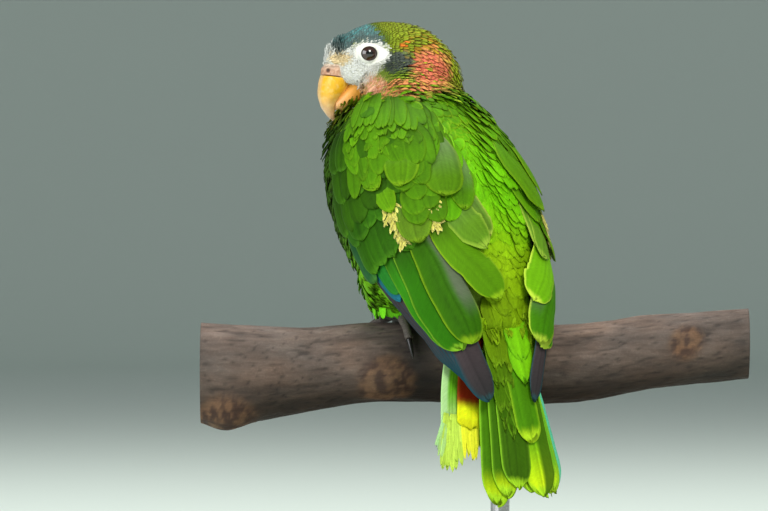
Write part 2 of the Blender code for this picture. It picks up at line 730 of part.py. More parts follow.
def make_stand():
    node("perch", *perch_shape(), "bark")
    node("stand_base", *base_shape(), "wood", smooth=False)
    foot = BASE_SIZE[2] - PERCH_HEIGHT + GAP
    path = [(0, 0, foot), (0, 0, foot / 2), (0, 0, ROD_TOP)]
    rod = node("stand_rod", *tube(path, [ROD_RADIUS] * len(path), ROUND_SIDES), "steel")
    cutter(rod, *perch_shape(GAP), "rod_seat_on_perch")


for old in list(bpy.data.objects):
    bpy.data.objects.remove(old)
perch_level = bpy.data.objects.new("perch_level", None)
perch_level.location = Vector((0, 0, PERCH_HEIGHT * MM))
bpy.context.scene.collection.objects.link(perch_level)
make_stand()
make_body()
make_wings()
make_head()
make_tail()
make_legs()
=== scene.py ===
"""Looks for the perched amazon parrot: skin, feathers, bill, eyes, feet, bark, stand and studio.

Sizes are in millimetres, measured from the perch's middle line over the rod as in the part's source, and
become metres when a mesh is made.
"""

import math

import bmesh
import bpy
import numpy as np
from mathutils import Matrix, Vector, noise
from mathutils.bvhtree import BVHTree


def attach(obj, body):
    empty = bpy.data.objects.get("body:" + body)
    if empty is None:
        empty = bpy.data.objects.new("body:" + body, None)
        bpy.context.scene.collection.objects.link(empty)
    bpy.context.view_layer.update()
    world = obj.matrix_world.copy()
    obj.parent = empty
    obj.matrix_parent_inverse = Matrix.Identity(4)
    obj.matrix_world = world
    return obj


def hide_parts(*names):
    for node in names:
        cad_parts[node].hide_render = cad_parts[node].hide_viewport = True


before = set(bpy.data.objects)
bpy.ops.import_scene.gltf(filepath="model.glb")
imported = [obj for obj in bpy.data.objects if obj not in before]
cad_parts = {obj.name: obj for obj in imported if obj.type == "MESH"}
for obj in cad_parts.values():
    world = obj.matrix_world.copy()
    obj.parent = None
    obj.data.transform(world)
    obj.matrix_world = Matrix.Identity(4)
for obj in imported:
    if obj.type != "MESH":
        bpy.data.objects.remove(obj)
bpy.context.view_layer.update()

rng = np.random.default_rng(11)

MM = 0.001
PERCH_HEIGHT = 100.0
SIDES = {"left": -1.0, "right": 1.0}

# The part's own named values, in the same order as in its source
PERCH = (
    (-142.0, 2.0, -4.0, 23.6),
    (-118.0, 1.0, -4.5, 23.0),
    (-90.0, 0.5, -3.0, 20.4),
    (-60.0, 0.0, 0.0, 19.2),
    (-25.0, 0.0, 0.4, 19.2),
    (10.0, 0.0, -0.6, 19.2),
    (42.0, 0.0, 0.6, 18.8),
    (70.0, 1.0, 4.6, 18.0),
    (96.0, 2.0, 7.4, 17.4),
    (118.0, 3.0, 9.5, 17.0),
)
PERCH_WAVES = ((0.25, 3, 0.05), (0.2, 5, -0.09))
KNOTS = (
    (-54.0, -28.0, 11.0, 2.6),
    (-130.0, -62.0, 12.0, 6.5),
    (88.0, 12.0, 8.0, 2.0),
    (60.0, 175.0, 10.0, 2.6),
)
BIRD_PLACE = (-20.4, -10.0)
BIRD_YAW = 33.0
BODY = (
    (0.0, 50.0, 148.0, 20.0, 20.0, 20.0),
    (-1.0, 47.5, 134.0, 24.5, 24.0, 29.0),
    (-2.0, 43.0, 120.0, 31.0, 29.0, 45.0),
    (-2.0, 35.0, 101.0, 39.5, 35.5, 49.5),
    (-1.0, 24.0, 80.0, 43.5, 38.5, 48.0),
    (0.0, 12.0, 60.0, 44.5, 36.0, 41.0),
    (0.0, -2.0, 43.0, 41.5, 29.0, 26.5),
    (0.0, -16.0, 29.0, 31.0, 20.0, 8.8),
    (0.0, -27.0, 15.0, 21.0, 11.0, 6.5),
    (0.0, -33.0, 0.0, 18.5, 7.5, 7.0),
    (0.0, -38.0, -16.0, 16.5, 6.0, 6.0),
    (0.0, -42.0, -32.0, 14.0, 5.0, 5.0),
)
NECK_TOP = 0.75
RUMP_STATION = 8.0
HEAD_PLACE = (0.0, 50.0, 143.0)
HEAD_TURN = 65.0
HEAD = (
    (32.0, 7.0, -6.0, 6.5),
    (28.5, 12.2, -11.0, 10.5),
    (22.5, 16.8, -15.5, 14.6),
    (13.5, 20.0, -18.5, 18.0),
    (3.0, 20.6, -21.0, 19.6),
    (-7.0, 18.8, -22.5, 20.0),
    (-16.0, 13.8, -23.0, 18.6),
    (-24.0, 5.0, -22.0, 14.6),
    (-29.5, -6.0, -20.5, 8.0),
)
EYE = (15.2, 13.9, 4.4)
EYE_RADIUS = 5.0
BILL_UPPER = (
    (38.4, -5.6, 24.2, -7.6, 8.5),
    (39.5, -10.0, 25.0, -11.2, 8.2),
    (39.7, -15.0, 27.4, -15.0, 7.0),
    (38.6, -19.6, 29.8, -18.4, 5.2),
    (36.6, -23.2, 31.2, -21.6, 3.4),
    (34.2, -26.0, 31.4, -24.6, 1.9),
    (32.3, -27.6, 31.2, -26.8, 0.8),
)
BILL_LOWER = (
    (21.0, -7.5, 13.5, -15.5, 7.6),
    (25.0, -11.8, 18.0, -18.6, 7.3),
    (28.0, -15.8, 22.4, -21.0, 6.4),
    (30.2, -18.8, 27.0, -22.4, 4.8),
    (31.2, -20.8, 29.8, -22.6, 3.0),
)
CERE = (
    (38.2, -5.1, 24.4, -7.1, 8.9),
    (37.9, -2.2, 25.0, -3.6, 8.9),
    (37.0, 1.4, 26.0, 0.4, 8.2),
    (35.2, 5.0, 27.0, 3.6, 6.6),
    (33.2, 7.4, 28.0, 6.4, 4.4),
)
NOSTRIL = (35.6, 6.6, -3.4)
LEFT_WING_EDGE = (
    (2.0, 44.0),
    (3.1, 70.0),
    (4.1, 76.0),
    (5.5, 82.0),
    (6.3, 87.0),
    (7.2, 86.0),
    (8.2, 66.0),
    (9.0, 60.0),
    (10.0, 56.0),
)
RIGHT_WING_EDGE = (
    (2.8, 58.0),
    (4.1, 68.0),
    (4.9, 56.0),
    (5.8, 48.0),
    (7.5, 46.0),
    (8.6, 50.0),
    (10.0, 54.0),
)
RIGHT_WING_TUCK = 0.7
WING_INSET = 0.6
WING_FLARE = (
    (5.4, 0.0),
    (6.2, 3.5),
    (6.85, 9.5),
    (7.6, 13.0),
    (8.3, 12.5),
    (9.0, 10.0),
    (9.6, 7.5),
)
FLARE_WIDTH = 80.0
TAIL_ROOT = (7.2, -28.9, 12.4)
TAIL_PITCH = 75.0
TAIL_FEATHERS = ("middle", "inner", "second", "third", "fourth", "outer")
LEGS = (
    ("left", -48.2, (-29.0, 11.0, 46.0)),
    ("right", -0.4, (26.0, 10.0, 46.0)),
)
THIGH_RADII = (15.0, 15.0, 13.0, 10.5)
KNEE_OUT = 2.0
THIGH_FOOT_LEVEL = 27.0
FOOT_TURN = 20.0
TOES = (
    ("front_inner", -16.0, 22.0, 2.5),
    ("front_outer", 18.0, 29.0, 2.8),
    ("back_inner", 194.0, 14.0, 2.3),
    ("back_outer", 172.0, 24.0, 2.6),
)
TOE_CLEARANCE = 0.75
CLAW_LENGTH = 9.0
CLAW_RADIUS = 1.5


# ---------------------------------------------------------------- curves and frames


def read_rows(rows, at):
    """Rows of numbers read along a Catmull-Rom curve, at places counted in rows."""
    rows = np.array(rows, float)
    padded = np.vstack([2 * rows[0] - rows[1], rows, 2 * rows[-1] - rows[-2]])
    at = np.asarray(at, float)
    shape = at.shape
    at = at.ravel()
    first = np.clip(at.astype(int), 0, len(rows) - 2)
    f = (at - first)[:, None]
    a, b, c, d = (padded[first + k] for k in range(4))
    read = 0.5 * (2 * b + (c - a) * f + (2 * a - 5 * b + 4 * c - d) * f**2 + (3 * b - a - 3 * c + d) * f**3)
    return read.reshape(*shape, rows.shape[1])


def unit(v):
    return v / np.maximum(np.linalg.norm(v, axis=-1, keepdims=True), 1e-9)


def smooth_step(x):
    x = np.clip(x, 0.0, 1.0)
    return x * x * (3 - 2 * x)


def mix(a, b, share):
    """From a, at a share of 0, to b, at 1: numbers, colours or places."""
    a = np.asarray(a)
    return a + (b - a) * share


def full_turn(sides):
    return np.linspace(0, 2 * math.pi, sides, endpoint=False)


YAW = math.radians(BIRD_YAW)
TURN = math.radians(HEAD_TURN)
# The bird's right, forward and up in the world
BIRD_AXES = np.array([[math.cos(YAW), math.sin(YAW), 0], [-math.sin(YAW), math.cos(YAW), 0], [0, 0, 1.0]])
BIRD_ORIGIN = np.array([*BIRD_PLACE, 0.0])
# The head's forward, left and up in the bird's frame
HEAD_AXES = np.array(
    [[-math.sin(TURN), math.cos(TURN), 0], [-math.cos(TURN), -math.sin(TURN), 0], [0, 0, 1.0]]
)


def from_bird(points):
    """Points given sideways to the bird's right, forward and up."""
    return np.asarray(points, float) @ BIRD_AXES + BIRD_ORIGIN


def to_bird(points):
    return (np.asarray(points, float) - BIRD_ORIGIN) @ BIRD_AXES.T


def from_head(points):
    """Points given forward, to the left and up in the head."""
    return from_bird(np.asarray(points, float) @ HEAD_AXES + HEAD_PLACE)


def to_head(points):
    return (to_bird(points) - HEAD_PLACE) @ HEAD_AXES.T


SHORT_WAY = 0.02  # in stations, to read which way the body runs


def body_points(station, angle, height=0.0):
    """Points round the body, at a station in rows of BODY and an angle in degrees, which runs from the
    right side over the back to the left side."""
    station, angle, height = (a.astype(float) for a in np.broadcast_arrays(station, angle, height))
    turn = np.radians(angle)
    row = read_rows(BODY, station)
    before, after = (read_rows(BODY, station + step)[..., 1:3] for step in (-SHORT_WAY, SHORT_WAY))
    towards_head = unit(before - after)
    depth = (np.where(np.sin(turn) > 0, row[..., 4], row[..., 5]) + height) * np.sin(turn)
    sideways = row[..., 0] + (row[..., 3] + height) * np.cos(turn)
    forward = row[..., 1] - depth * towards_head[..., 1]
    up = row[..., 2] + depth * towards_head[..., 0]
    return from_bird(np.stack([sideways, forward, up], -1))


def body_place(points):
    """The station and angle that each point has round the body."""
    local = to_bird(points)
    stations = np.linspace(-0.3, 10.5, 260)
    middle = read_rows(BODY, np.clip(stations, 0, len(BODY) - 1.001))[:, :3]
    along = unit(np.gradient(middle, axis=0))
    best = np.zeros(len(local))
    for start in range(0, len(local), 20000):
        part = local[start : start + 20000]
        apart = part[:, None, 1:] - middle[None, :, 1:]
        off = np.abs((apart * along[None, :, 1:]).sum(-1)) + 0.05 * np.linalg.norm(apart, axis=-1)
        best[start : start + 20000] = stations[np.argmin(off, 1)]
    row = read_rows(BODY, np.clip(best, 0, len(BODY) - 1.001))
    before, after = (
        read_rows(BODY, np.clip(best + step, 0, len(BODY) - 1.1))[:, 1:3] for step in (-SHORT_WAY, SHORT_WAY)
    )
    head_way = unit(before - after)
    apart = local[:, 1:] - row[:, 1:3]
    depth = -apart[:, 0] * head_way[:, 1] + apart[:, 1] * head_way[:, 0]
    return best, np.degrees(np.arctan2(depth, local[:, 0] - row[:, 0])) % 360


# ---------------------------------------------------------------- meshes


def new_object(name, points, faces, smooth=True):
    """An object from points in millimetres over the perch level."""
    mesh = bpy.data.meshes.new(name)
    points = np.asarray(points, float) * MM + (0, 0, PERCH_HEIGHT * MM)
    mesh.from_pydata(points.tolist(), [], faces if isinstance(faces, list) else faces.tolist())
    if smooth:
        mesh.shade_smooth()
    obj = bpy.data.objects.new(name, mesh)
    bpy.context.scene.collection.objects.link(obj)
    return obj


def outward(obj):
    """Turns a closed body's faces outwards."""
    bm = bmesh.new()
    bm.from_mesh(obj.data)
    bmesh.ops.recalc_face_normals(bm, faces=bm.faces)
    bm.to_mesh(obj.data)
    bm.free()


def paint(obj, colour):
    """Colours its points, with one colour or one each."""
    mesh = obj.data
    rgba = np.ones((len(mesh.vertices), 4), np.float32)
    rgba[:, :3] = np.clip(colour, 0.0, 1.0)
    layer = mesh.color_attributes.new("Coat", "FLOAT_COLOR", "POINT")
    layer.data.foreach_set("color", rgba.ravel())


def map_points(obj, name, uv):
    """A UV map from one place for each point."""
    mesh = obj.data
    corners = np.zeros(len(mesh.loops), np.int32)
    mesh.loops.foreach_get("vertex_index", corners)
    layer = mesh.uv_layers.new(name=name)
    layer.data.foreach_set("uv", np.asarray(uv, np.float32)[corners].ravel())


def grid_faces(rows, columns, ring=False):
    i, j = np.meshgrid(np.arange(rows - 1), np.arange(columns if ring else columns - 1), indexing="ij")
    i, j = i.ravel(), j.ravel()
    k = (j + 1) % columns
    return np.stack([i * columns + j, i * columns + k, (i + 1) * columns + k, (i + 1) * columns + j], 1)


def loft(rings):
    """Points and faces of a closed body through rings of equal size."""
    rings = np.asarray(rings, float)
    count, sides = rings.shape[:2]
    faces = grid_faces(count, sides, ring=True).tolist()
    faces.append(list(range(sides)))
    faces.append(list(range((count - 1) * sides, count * sides)))
    return rings.reshape(-1, 3), faces


def tube(path, radii, sides):
    """A round body along a path."""
    path, radii = np.asarray(path, float), np.asarray(radii, float)
    along = unit(np.gradient(path, axis=0))
    side = unit(np.cross(along, (0.35, 0.2, 0.91)))
    other = np.cross(along, side)
    turn = full_turn(sides)
    circle = np.cos(turn)[:, None] * side[:, None] + np.sin(turn)[:, None] * other[:, None]
    if radii.ndim == 1:
        radii = radii[:, None]
    return loft(path[:, None] + circle * radii[..., None])


def joined(shapes):
    """Points and faces of several bodies as one list each."""
    points, faces, count = [], [], 0
    for p, f in shapes:
        points.append(p)
        faces += [[i + count for i in face] for face in f]
        count += len(p)
    return np.concatenate(points), faces


def bake_modifiers(obj):
    graph = bpy.context.evaluated_depsgraph_get()
    made = bpy.data.meshes.new_from_object(obj.evaluated_get(graph))
    obj.modifiers.clear()
    old = obj.data
    obj.data = made
    bpy.data.meshes.remove(old)


def remeshed(obj, voxel, smoothing):
    """Melts bodies that overlap into one, and smooths where they meet."""
    grown = obj.modifiers.new("one_body", "REMESH")
    grown.mode = "VOXEL"
    grown.voxel_size = voxel * MM
    soft = obj.modifiers.new("soft", "SMOOTH")
    soft.factor = 0.5
    soft.iterations = smoothing
    bake_modifiers(obj)
    obj.data.shade_smooth()


def mesh_points(obj):
    points = np.zeros(len(obj.data.vertices) * 3, np.float32)
    obj.data.vertices.foreach_get("co", points)
    return points.reshape(-1, 3).astype(float) / MM - (0, 0, PERCH_HEIGHT)


def piece(obj, slot, *nodes):
    """Hands a piece to the frame, with the nodes that it takes the place of."""
    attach(obj, "root")
    if nodes:
        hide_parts(*nodes)
    return obj


def closed_body(name, points, faces):
    body = new_object(name, points, faces)
    outward(body)
    return body


def finished(obj, colour, look, slot, *nodes):
    """Colours a piece, gives it its material and hands it to the frame."""
    paint(obj, colour)
    obj.data.materials.append(look)
    return piece(obj, slot, *nodes)


# ---------------------------------------------------------------- materials


class Nodes:
    """Short hand for building a material's nodes."""

    def __init__(self, name, **values):
        self.material = bpy.data.materials.new(name)
        self.material.use_nodes = True
        self.tree = self.material.node_tree
        self.shader = self.tree.nodes["Principled BSDF"]
        for key, value in values.items():
            self.shader.inputs[key.replace("_", " ").title().replace("Ior", "IOR")].default_value = value

    def add(self, kind, inputs=(), **settings):
        made = self.tree.nodes.new(kind)
        for key, value in settings.items():
            setattr(made, key, value)
        for key, value in dict(inputs).items():
            if isinstance(value, bpy.types.NodeSocket):
                self.tree.links.new(value, made.inputs[key])
            else:
                made.inputs[key].default_value = value
        return made

    def link(self, value, socket):
        self.tree.links.new(value, self.shader.inputs[socket])

    def ramp(self, value, *stops):
        """A colour ramp: place and grey or colour for each stop."""
        made = self.add("ShaderNodeValToRGB", {"Fac": value})
        stop_list = made.color_ramp.elements
        while len(stop_list) < len(stops):
            stop_list.new(0.5)
        for element, (place, colour) in zip(stop_list, stops):
            element.position = place
            element.color = (colour,) * 3 + (1,) if isinstance(colour, float) else (*colour, 1)
        return made.outputs["Color"]

    def noise(self, vector, scale, detail=3.0, rough=0.55):
        inputs = {"Vector": vector, "Scale": scale, "Detail": detail, "Roughness": rough}
        return self.add("ShaderNodeTexNoise", inputs).outputs[0]

    def scaled(self, vector, scale):
        return self.add("ShaderNodeMapping", {"Vector": vector, "Scale": scale}).outputs["Vector"]

    def times(self, a, b):
        made = self.add("ShaderNodeMix", data_type="RGBA", blend_type="MULTIPLY")
        made.inputs[0].default_value = 1.0
        self.tree.links.new(a, made.inputs[6])
        self.tree.links.new(b, made.inputs[7])
        return made.outputs[2]

    def shade(self, colour, pattern, darkest, low=0.3, high=0.7):
        """A colour that darkens where a pattern is low."""
        return self.times(colour, self.ramp(pattern, (low, darkest), (high, 1.0)))

    def bump(self, height, strength, distance):
        made = self.add("ShaderNodeBump", {"Height": height, "Strength": strength, "Distance": distance})
        self.link(made.outputs["Normal"], "Normal")

    def place(self):
        return self.add("ShaderNodeTexCoord").outputs["Object"]

    def coat(self):
        return self.add("ShaderNodeVertexColor", layer_name="Coat").outputs["Color"]


def plumage_material(name, roughness, streaks, relief):
    """Vane colours with barbs that run slanting from the shaft, from a map in millimetres."""
    n = Nodes(name, roughness=roughness, specular_ior_level=0.06)
    vane = n.add("ShaderNodeUVMap", uv_map="Vane").outputs["UV"]
    fine = n.noise(n.scaled(vane, (0.35, 3.0, 1.0)), 1.0, 2.0)
    broad = n.noise(n.scaled(vane, (0.12, 0.8, 1.0)), 1.0, 2.0)
    tone = n.shade(n.coat(), fine, 1 - streaks, 0.32, 0.68)
    n.link(n.shade(tone, broad, 1 - 0.4 * streaks), "Base Color")
    n.bump(fine, relief, 0.0003)
    return n.material


def skin_material():
    n = Nodes("skin", roughness=0.75)
    grain = n.noise(n.place(), 1400.0, 4.0)
    n.link(n.shade(n.coat(), grain, 0.7), "Base Color")
    n.bump(grain, 0.5, 0.0003)
    return n.material


def bare_material():
    """Fine-grained bare skin of the lids and cere."""
    n = Nodes("bare_skin", roughness=0.5)
    pores = n.add("ShaderNodeTexVoronoi", {"Vector": n.place(), "Scale": 1500.0}).outputs["Distance"]
    n.link(n.shade(n.coat(), n.noise(n.place(), 420.0, 3.0), 0.88), "Base Color")
    n.bump(pores, 0.45, 0.00025)
    return n.material


def horn_material(name, roughness, depth):
    n = Nodes(name, roughness=roughness, specular_ior_level=0.5)
    layers = n.noise(n.place(), 260.0, 4.0)
    fine = n.noise(n.scaled(n.place(), (2.2, 2.2, 0.35)), 900.0, 3.0)
    n.link(n.shade(n.shade(n.coat(), layers, 0.86), fine, 0.9), "Base Color")
    n.bump(fine, 0.25, depth)
    return n.material


def eye_material():
    n = Nodes("eye", roughness=0.06, coat_weight=1.0, coat_roughness=0.02)
    n.link(n.shade(n.coat(), n.noise(n.place(), 2600.0, 2.0), 0.6), "Base Color")
    return n.material


def foot_material():
    n = Nodes("foot", roughness=0.65)
    inputs = {"Vector": n.place(), "Scale": 900.0}
    scales = n.add("ShaderNodeTexVoronoi", inputs, feature="DISTANCE_TO_EDGE").outputs[0]
    tone = n.shade(n.coat(), n.noise(n.place(), 300.0, 3.0), 0.75)
    n.link(n.shade(tone, scales, 0.5, 0.0, 0.16), "Base Color")
    n.bump(scales, 0.6, 0.0003)
    return n.material


def bark_material():
    n = Nodes("bark", roughness=0.85)
    place = n.place()
    grain = n.noise(n.scaled(place, (0.22, 1.0, 1.0)), 420.0, 6.0, 0.65)
    patch = n.noise(n.scaled(place, (0.5, 1.0, 1.0)), 60.0, 4.0)
    specks = n.noise(place, 900.0, 2.0)
    tone = n.times(n.coat(), n.ramp(grain, (0.3, (0.62, 0.58, 0.56)), (0.72, (1.0, 1.0, 1.0))))
    tone = n.times(tone, n.ramp(patch, (0.35, (1.0, 0.9, 0.84)), (0.65, (0.82, 0.86, 0.9))))
    n.link(n.shade(tone, specks, 0.8, 0.5, 0.78), "Base Color")
    n.bump(grain, 0.7, 0.0011)
    return n.material


def wood_material():
    n = Nodes("stand_wood", roughness=0.38, coat_weight=0.25)
    place = n.place()
    warp = n.noise(n.scaled(place, (6.0, 60.0, 60.0)), 1.0, 4.0)
    bands = {"Vector": n.scaled(place, (0.4, 1.0, 1.0)), "Scale": 30.0, "Distortion": 9.0}
    bands |= {"Detail": 3.0, "Detail Scale": 1.2}
    rings = n.add("ShaderNodeTexWave", bands, bands_direction="Y").outputs["Color"]
    grain = n.noise(n.scaled(place, (30.0, 900.0, 900.0)), 1.0, 3.0)
    tone = n.ramp(rings, (0.2, (0.17, 0.085, 0.04)), (0.8, (0.30, 0.17, 0.085)))
    n.link(n.shade(n.shade(tone, grain, 0.7), warp, 0.8), "Base Color")
    n.bump(grain, 0.15, 0.0003)
    return n.material


def steel_material():
    n = Nodes("stand_steel", metallic=1.0, base_color=(0.5, 0.5, 0.51, 1))
    brushed = n.noise(n.scaled(n.place(), (1.0, 1.0, 60.0)), 40.0, 3.0)
    n.link(n.ramp(brushed, (0.3, 0.24), (0.7, 0.42)), "Roughness")
    n.bump(brushed, 0.1, 0.0001)
    return n.material


# ---------------------------------------------------------------- markings

# Plumage colours in linear red, green and blue
MANTLE = (0.088, 0.26, 0.003)
MANTLE_BRIGHT = (0.19, 0.66, 0.005)
# BREAST is darker than the mantle: partly the breast's own darker green, partly painted shade, as the breast
# lies in shadow.
BREAST = (0.04, 0.11, 0.005)
RUMP = (0.29, 0.52, 0.005)
BELLY = (0.19, 0.54, 0.012)
OLIVE = (0.33, 0.46, 0.02)
CROWN_GREEN = (0.235, 0.31, 0.02)
TIP_GREEN = (0.48, 0.58, 0.04)
EAR_GREEN = (0.26, 0.40, 0.025)
DUSK = (0.02, 0.04, 0.004)
MAROON = (0.06, 0.02, 0.004)
SALMON = (1.0, 0.24, 0.14)
COLLAR = (0.9, 0.30, 0.12)
ORANGE = (0.85, 0.22, 0.03)
SLATE = (0.15, 0.22, 0.21)
TEAL_BLUE = (0.13, 0.44, 0.44)
EAR_SLATE = (0.095, 0.11, 0.09)
WHITE = (0.93, 0.93, 0.86)
LORE = (0.85, 0.66, 0.36)
CHEEK = (1.0, 1.0, 0.90)
THROAT = (1.0, 0.5, 0.3)
FRINGE = (0.34, 0.58, 0.015)

HEAD_BACK = -(HEAD_AXES[0] @ BIRD_AXES)
SEEN_SHIFT = 0.14  # the head's turn away from a side view, per millimetre out from its middle


def blob(a, b, middle_a, middle_b, reach_a, reach_b, soft=0.25):
    """1 inside an oval and 0 outside it, with a soft rim."""
    far = np.hypot((a - middle_a) / reach_a, (b - middle_b) / reach_b)
    return smooth_step((1 + soft - far) / (2 * soft))[:, None]


def head_seen(points):
    """Forward, up and distance from the middle in the head, forward as seen beside it."""
    forward, left, up = to_head(points).T
    return forward - SEEN_SHIFT * np.abs(left), up, np.abs(left)


def markings(points, ragged=0.7):
    """Colour, edge colour, how much the edge shows, and vane length, for places on the bird."""
    forward, up, side = head_seen(points)
    station, angle = body_place(points)
    count = len(points)
    forward = forward + rng.normal(0, ragged, count)
    up = up + rng.normal(0, ragged, count)
    station = station + rng.normal(0, 0.05 * ragged, count)
    back = np.sin(np.radians(angle))
    # Trunk
    colour = mix(BREAST, MANTLE, smooth_step((back + 0.25) / 0.5)[:, None])
    bright = smooth_step((station - 2.6) / 2.2) * smooth_step((back - 0.3) / 0.5)
    colour = mix(colour, MANTLE_BRIGHT, bright[:, None])
    low = smooth_step((station - mix(4.0, 5.0, smooth_step(back + 0.5))) / 1.8)[:, None]
    colour = mix(colour, mix(BELLY, RUMP, smooth_step(back + 0.5)[:, None]), low)
    colour = colour * mix(1.0, 0.66, smooth_step((station - 6.9) / 0.8) * smooth_step(back))[:, None]
    edge = mix(FRINGE, DUSK, smooth_step((0.1 - back) / 0.4)[:, None])
    # Dark rims on the neck and upper body: partly the feathers' own dusky edges, partly painted shadow lines
    # under the tips.
    dusky_and_shadow_rims = smooth_step((3.4 - station) / 0.8)[:, None] * (rng.random(count) < 0.6)[:, None]
    edge = mix(edge, DUSK, dusky_and_shadow_rims)
    share = mix(0.75, 0.45, smooth_step((back + 0.1) / 0.5))
    share = share * mix(1.0, 0.3, smooth_step((station - 3.2) / 1.0) * smooth_step(back / 0.3))
    length = 12.0 + 2.5 * smooth_step((station - 4.5) / 2)
    # Neck and head
    neck = smooth_step((2.12 - station) / 0.22)[:, None]
    colour = mix(colour, OLIVE, neck)
    edge = mix(edge, MAROON, neck)
    share = mix(share, 0.95, neck[:, 0])
    length = mix(length, 6.4, smooth_step((2.1 - station) / 0.6))
    crown = smooth_step((up + 2) / 10)[:, None] * smooth_step((forward + 24) / 12)[:, None]
    colour = mix(colour, CROWN_GREEN, 0.75 * crown * neck)
    on_head = smooth_step((forward + 24) / 12) * smooth_step((up + 22) / 5)
    length = mix(length, 2.2 + 4.2 * smooth_step((9 - forward) / 20), on_head)
    length = length * (1 - 0.35 * blob(forward, up, 14.0, 4.4, 12, 9)[:, 0])
    share = mix(share, 0.9, on_head)
    beside = (side > 7)[:, None]
    ear_green = blob(forward, up, -1, -7, 11, 5) * beside
    colour = mix(colour, EAR_GREEN, ear_green)
    edge = mix(edge, (0.02, 0.06, 0.01), ear_green)
    salmon = blob(forward, up, -14.8, -3.8, 8.4, 9.8, 0.4) * beside
    orange_wash = 0.45 * blob(forward, up, -13, 4, 10, 9, 0.5) * (rng.random(count) < 0.45)[:, None]
    colour = mix(colour, ORANGE, orange_wash * beside)
    colour = mix(colour, SALMON, salmon * (rng.random(count) < 0.9)[:, None])
    share = share * (1 - 0.35 * salmon[:, 0])
    collar = blob(forward, up, 0, -14, 22, 5.0, 0.35) * (side > 4)[:, None]
    streaky = (rng.random(count) < 0.6)[:, None]
    colour = mix(colour, COLLAR, 0.9 * collar * streaky)
    ear = blob(forward, up, 0.5, -0.3, 7.9, 5.7, 0.2) * beside
    low_ear = mix(EAR_SLATE, (0.10, 0.17, 0.05), smooth_step((-3.0 - up) / 3)[:, None])
    colour = mix(colour, low_ear, ear)
    # Face
    throat = blob(forward, up, 12, -11, 5.5, 4.5, 0.35)
    rear_cheek = np.interp(up, (-13, -11.8, -3.7, 0), (19.5, 18.0, 8.6, 7.4))
    cheek = smooth_step((forward - rear_cheek) / 1.6 + 0.5) * smooth_step((up + 14) / 3) * (up < 4)
    cheek = cheek[:, None]
    colour = mix(colour, THROAT, throat * (rng.random(count) < 0.75)[:, None])
    muzzle = smooth_step((forward - 19.5) / 1.5) * smooth_step((9 - up) / 2) * (up > -13)
    cheek = np.maximum(cheek, muzzle[:, None])
    colour = mix(colour, CHEEK, cheek)
    colour = mix(colour, THROAT, 0.8 * throat * cheek * (rng.random(count) < 0.5)[:, None])
    ring = blob(forward, up, 14.0, 4.4, 9.6, 6.3, 0.12)
    colour = mix(colour, WHITE, ring)
    spot = blob(forward, up, -3.3, 8.4, 2.0, 1.9) * beside
    colour = mix(colour, ORANGE, spot)
    under = np.interp(forward, (6, 10.7, 16.4, 21.2, 25.6, 33), (8.6, 10.2, 10.6, 9.4, 5.6, 5.6))
    rear = np.interp(up, (7, 13.2, 18.1, 22), (6.8, 8.6, 14.4, 17.0))
    slate = smooth_step((up - under) / 1.0 + 0.5) * smooth_step((forward - rear) / 2.4 + 0.5)
    high = smooth_step((up - under - 1.5) / 5.5) * (0.2 + 0.8 * (rng.random(count) < 0.45))
    patch = mix(SLATE, TEAL_BLUE, high[:, None])
    behind = smooth_step((forward - rear + 6.5) / 5) * smooth_step((up - under) / 2)
    colour = mix(colour, (0.10, 0.21, 0.03), 0.7 * behind[:, None])
    colour = mix(colour, patch, slate[:, None])
    brow_line = np.interp(up, (-6, 2, 5.5, 8, 12), (24.5, 26, 30.6, 31.8, 33.0))
    brow = smooth_step((forward - brow_line) / 1.4 + 0.5) * (up > -9)
    brow = brow[:, None]
    colour = mix(colour, WHITE, brow)
    lore = blob(forward, up, 28.6, 2.0, 5.6, 2.9, 0.3) * (side > 4)[:, None]
    colour = mix(colour, LORE, lore)
    pale = np.clip(ring + cheek + brow + lore + 0.6 * throat, 0, 1)[:, 0]
    share = share * (1 - 0.9 * pale)
    edge = mix(edge, (0.06, 0.09, 0.085), np.clip(slate + ear[:, 0], 0, 1)[:, None])
    edge = mix(edge, (0.8, 0.86, 0.82), pale[:, None])
    return colour, edge, share, length


def lie(points, normals):
    """The way that the coat lies: back over the head, then down the body, along the surface."""
    forward, up, _ = head_seen(points)
    station = body_place(points)[0]
    places = np.clip(station, 0, len(BODY) - 1.1)
    down = unit((read_rows(BODY, places + 0.05) - read_rows(BODY, places - 0.05))[:, :3]) @ BIRD_AXES
    on_head = smooth_step((forward + 30) / 22) * smooth_step((up + 27) / 10)
    droop = 1.0 * smooth_step((18 - up) / 22) * smooth_step((8 - forward) / 16)
    over = HEAD_BACK - droop[:, None] * np.array([0, 0, 1.0])
    way = mix(down, over, on_head[:, None])
    on_thigh = smooth_step((42 - points[:, 2]) / 10) * smooth_step((to_bird(points)[:, 1] + 5) / 10)
    way = mix(way, np.array([0, 0, -1.0]), 0.6 * on_thigh[:, None])
    return unit(way - (way * normals).sum(1, keepdims=True) * normals)


# ---------------------------------------------------------------- skin

SKIN_DEPTH_HEAD = 1.1
FOREHEAD_DEPTH = 0.3
FOREHEAD_TOP = (31.2, 10.0, 27.0, 9.0, 3.4)  # above the rows of CERE, where the forehead meets the crown
SKIN_DEPTH_BODY = 2.6
SKIN_DEPTH_THIGH = 2.0
SKIN_VOXEL = 0.8


def perch_at(x):
    """The perch's middle and radius at a place along it."""
    rows = read_rows(PERCH, np.linspace(0, len(PERCH) - 1, 400))
    nearest = rows[np.argmin(np.abs(rows[:, 0] - x))]
    return nearest[:3], nearest[3]


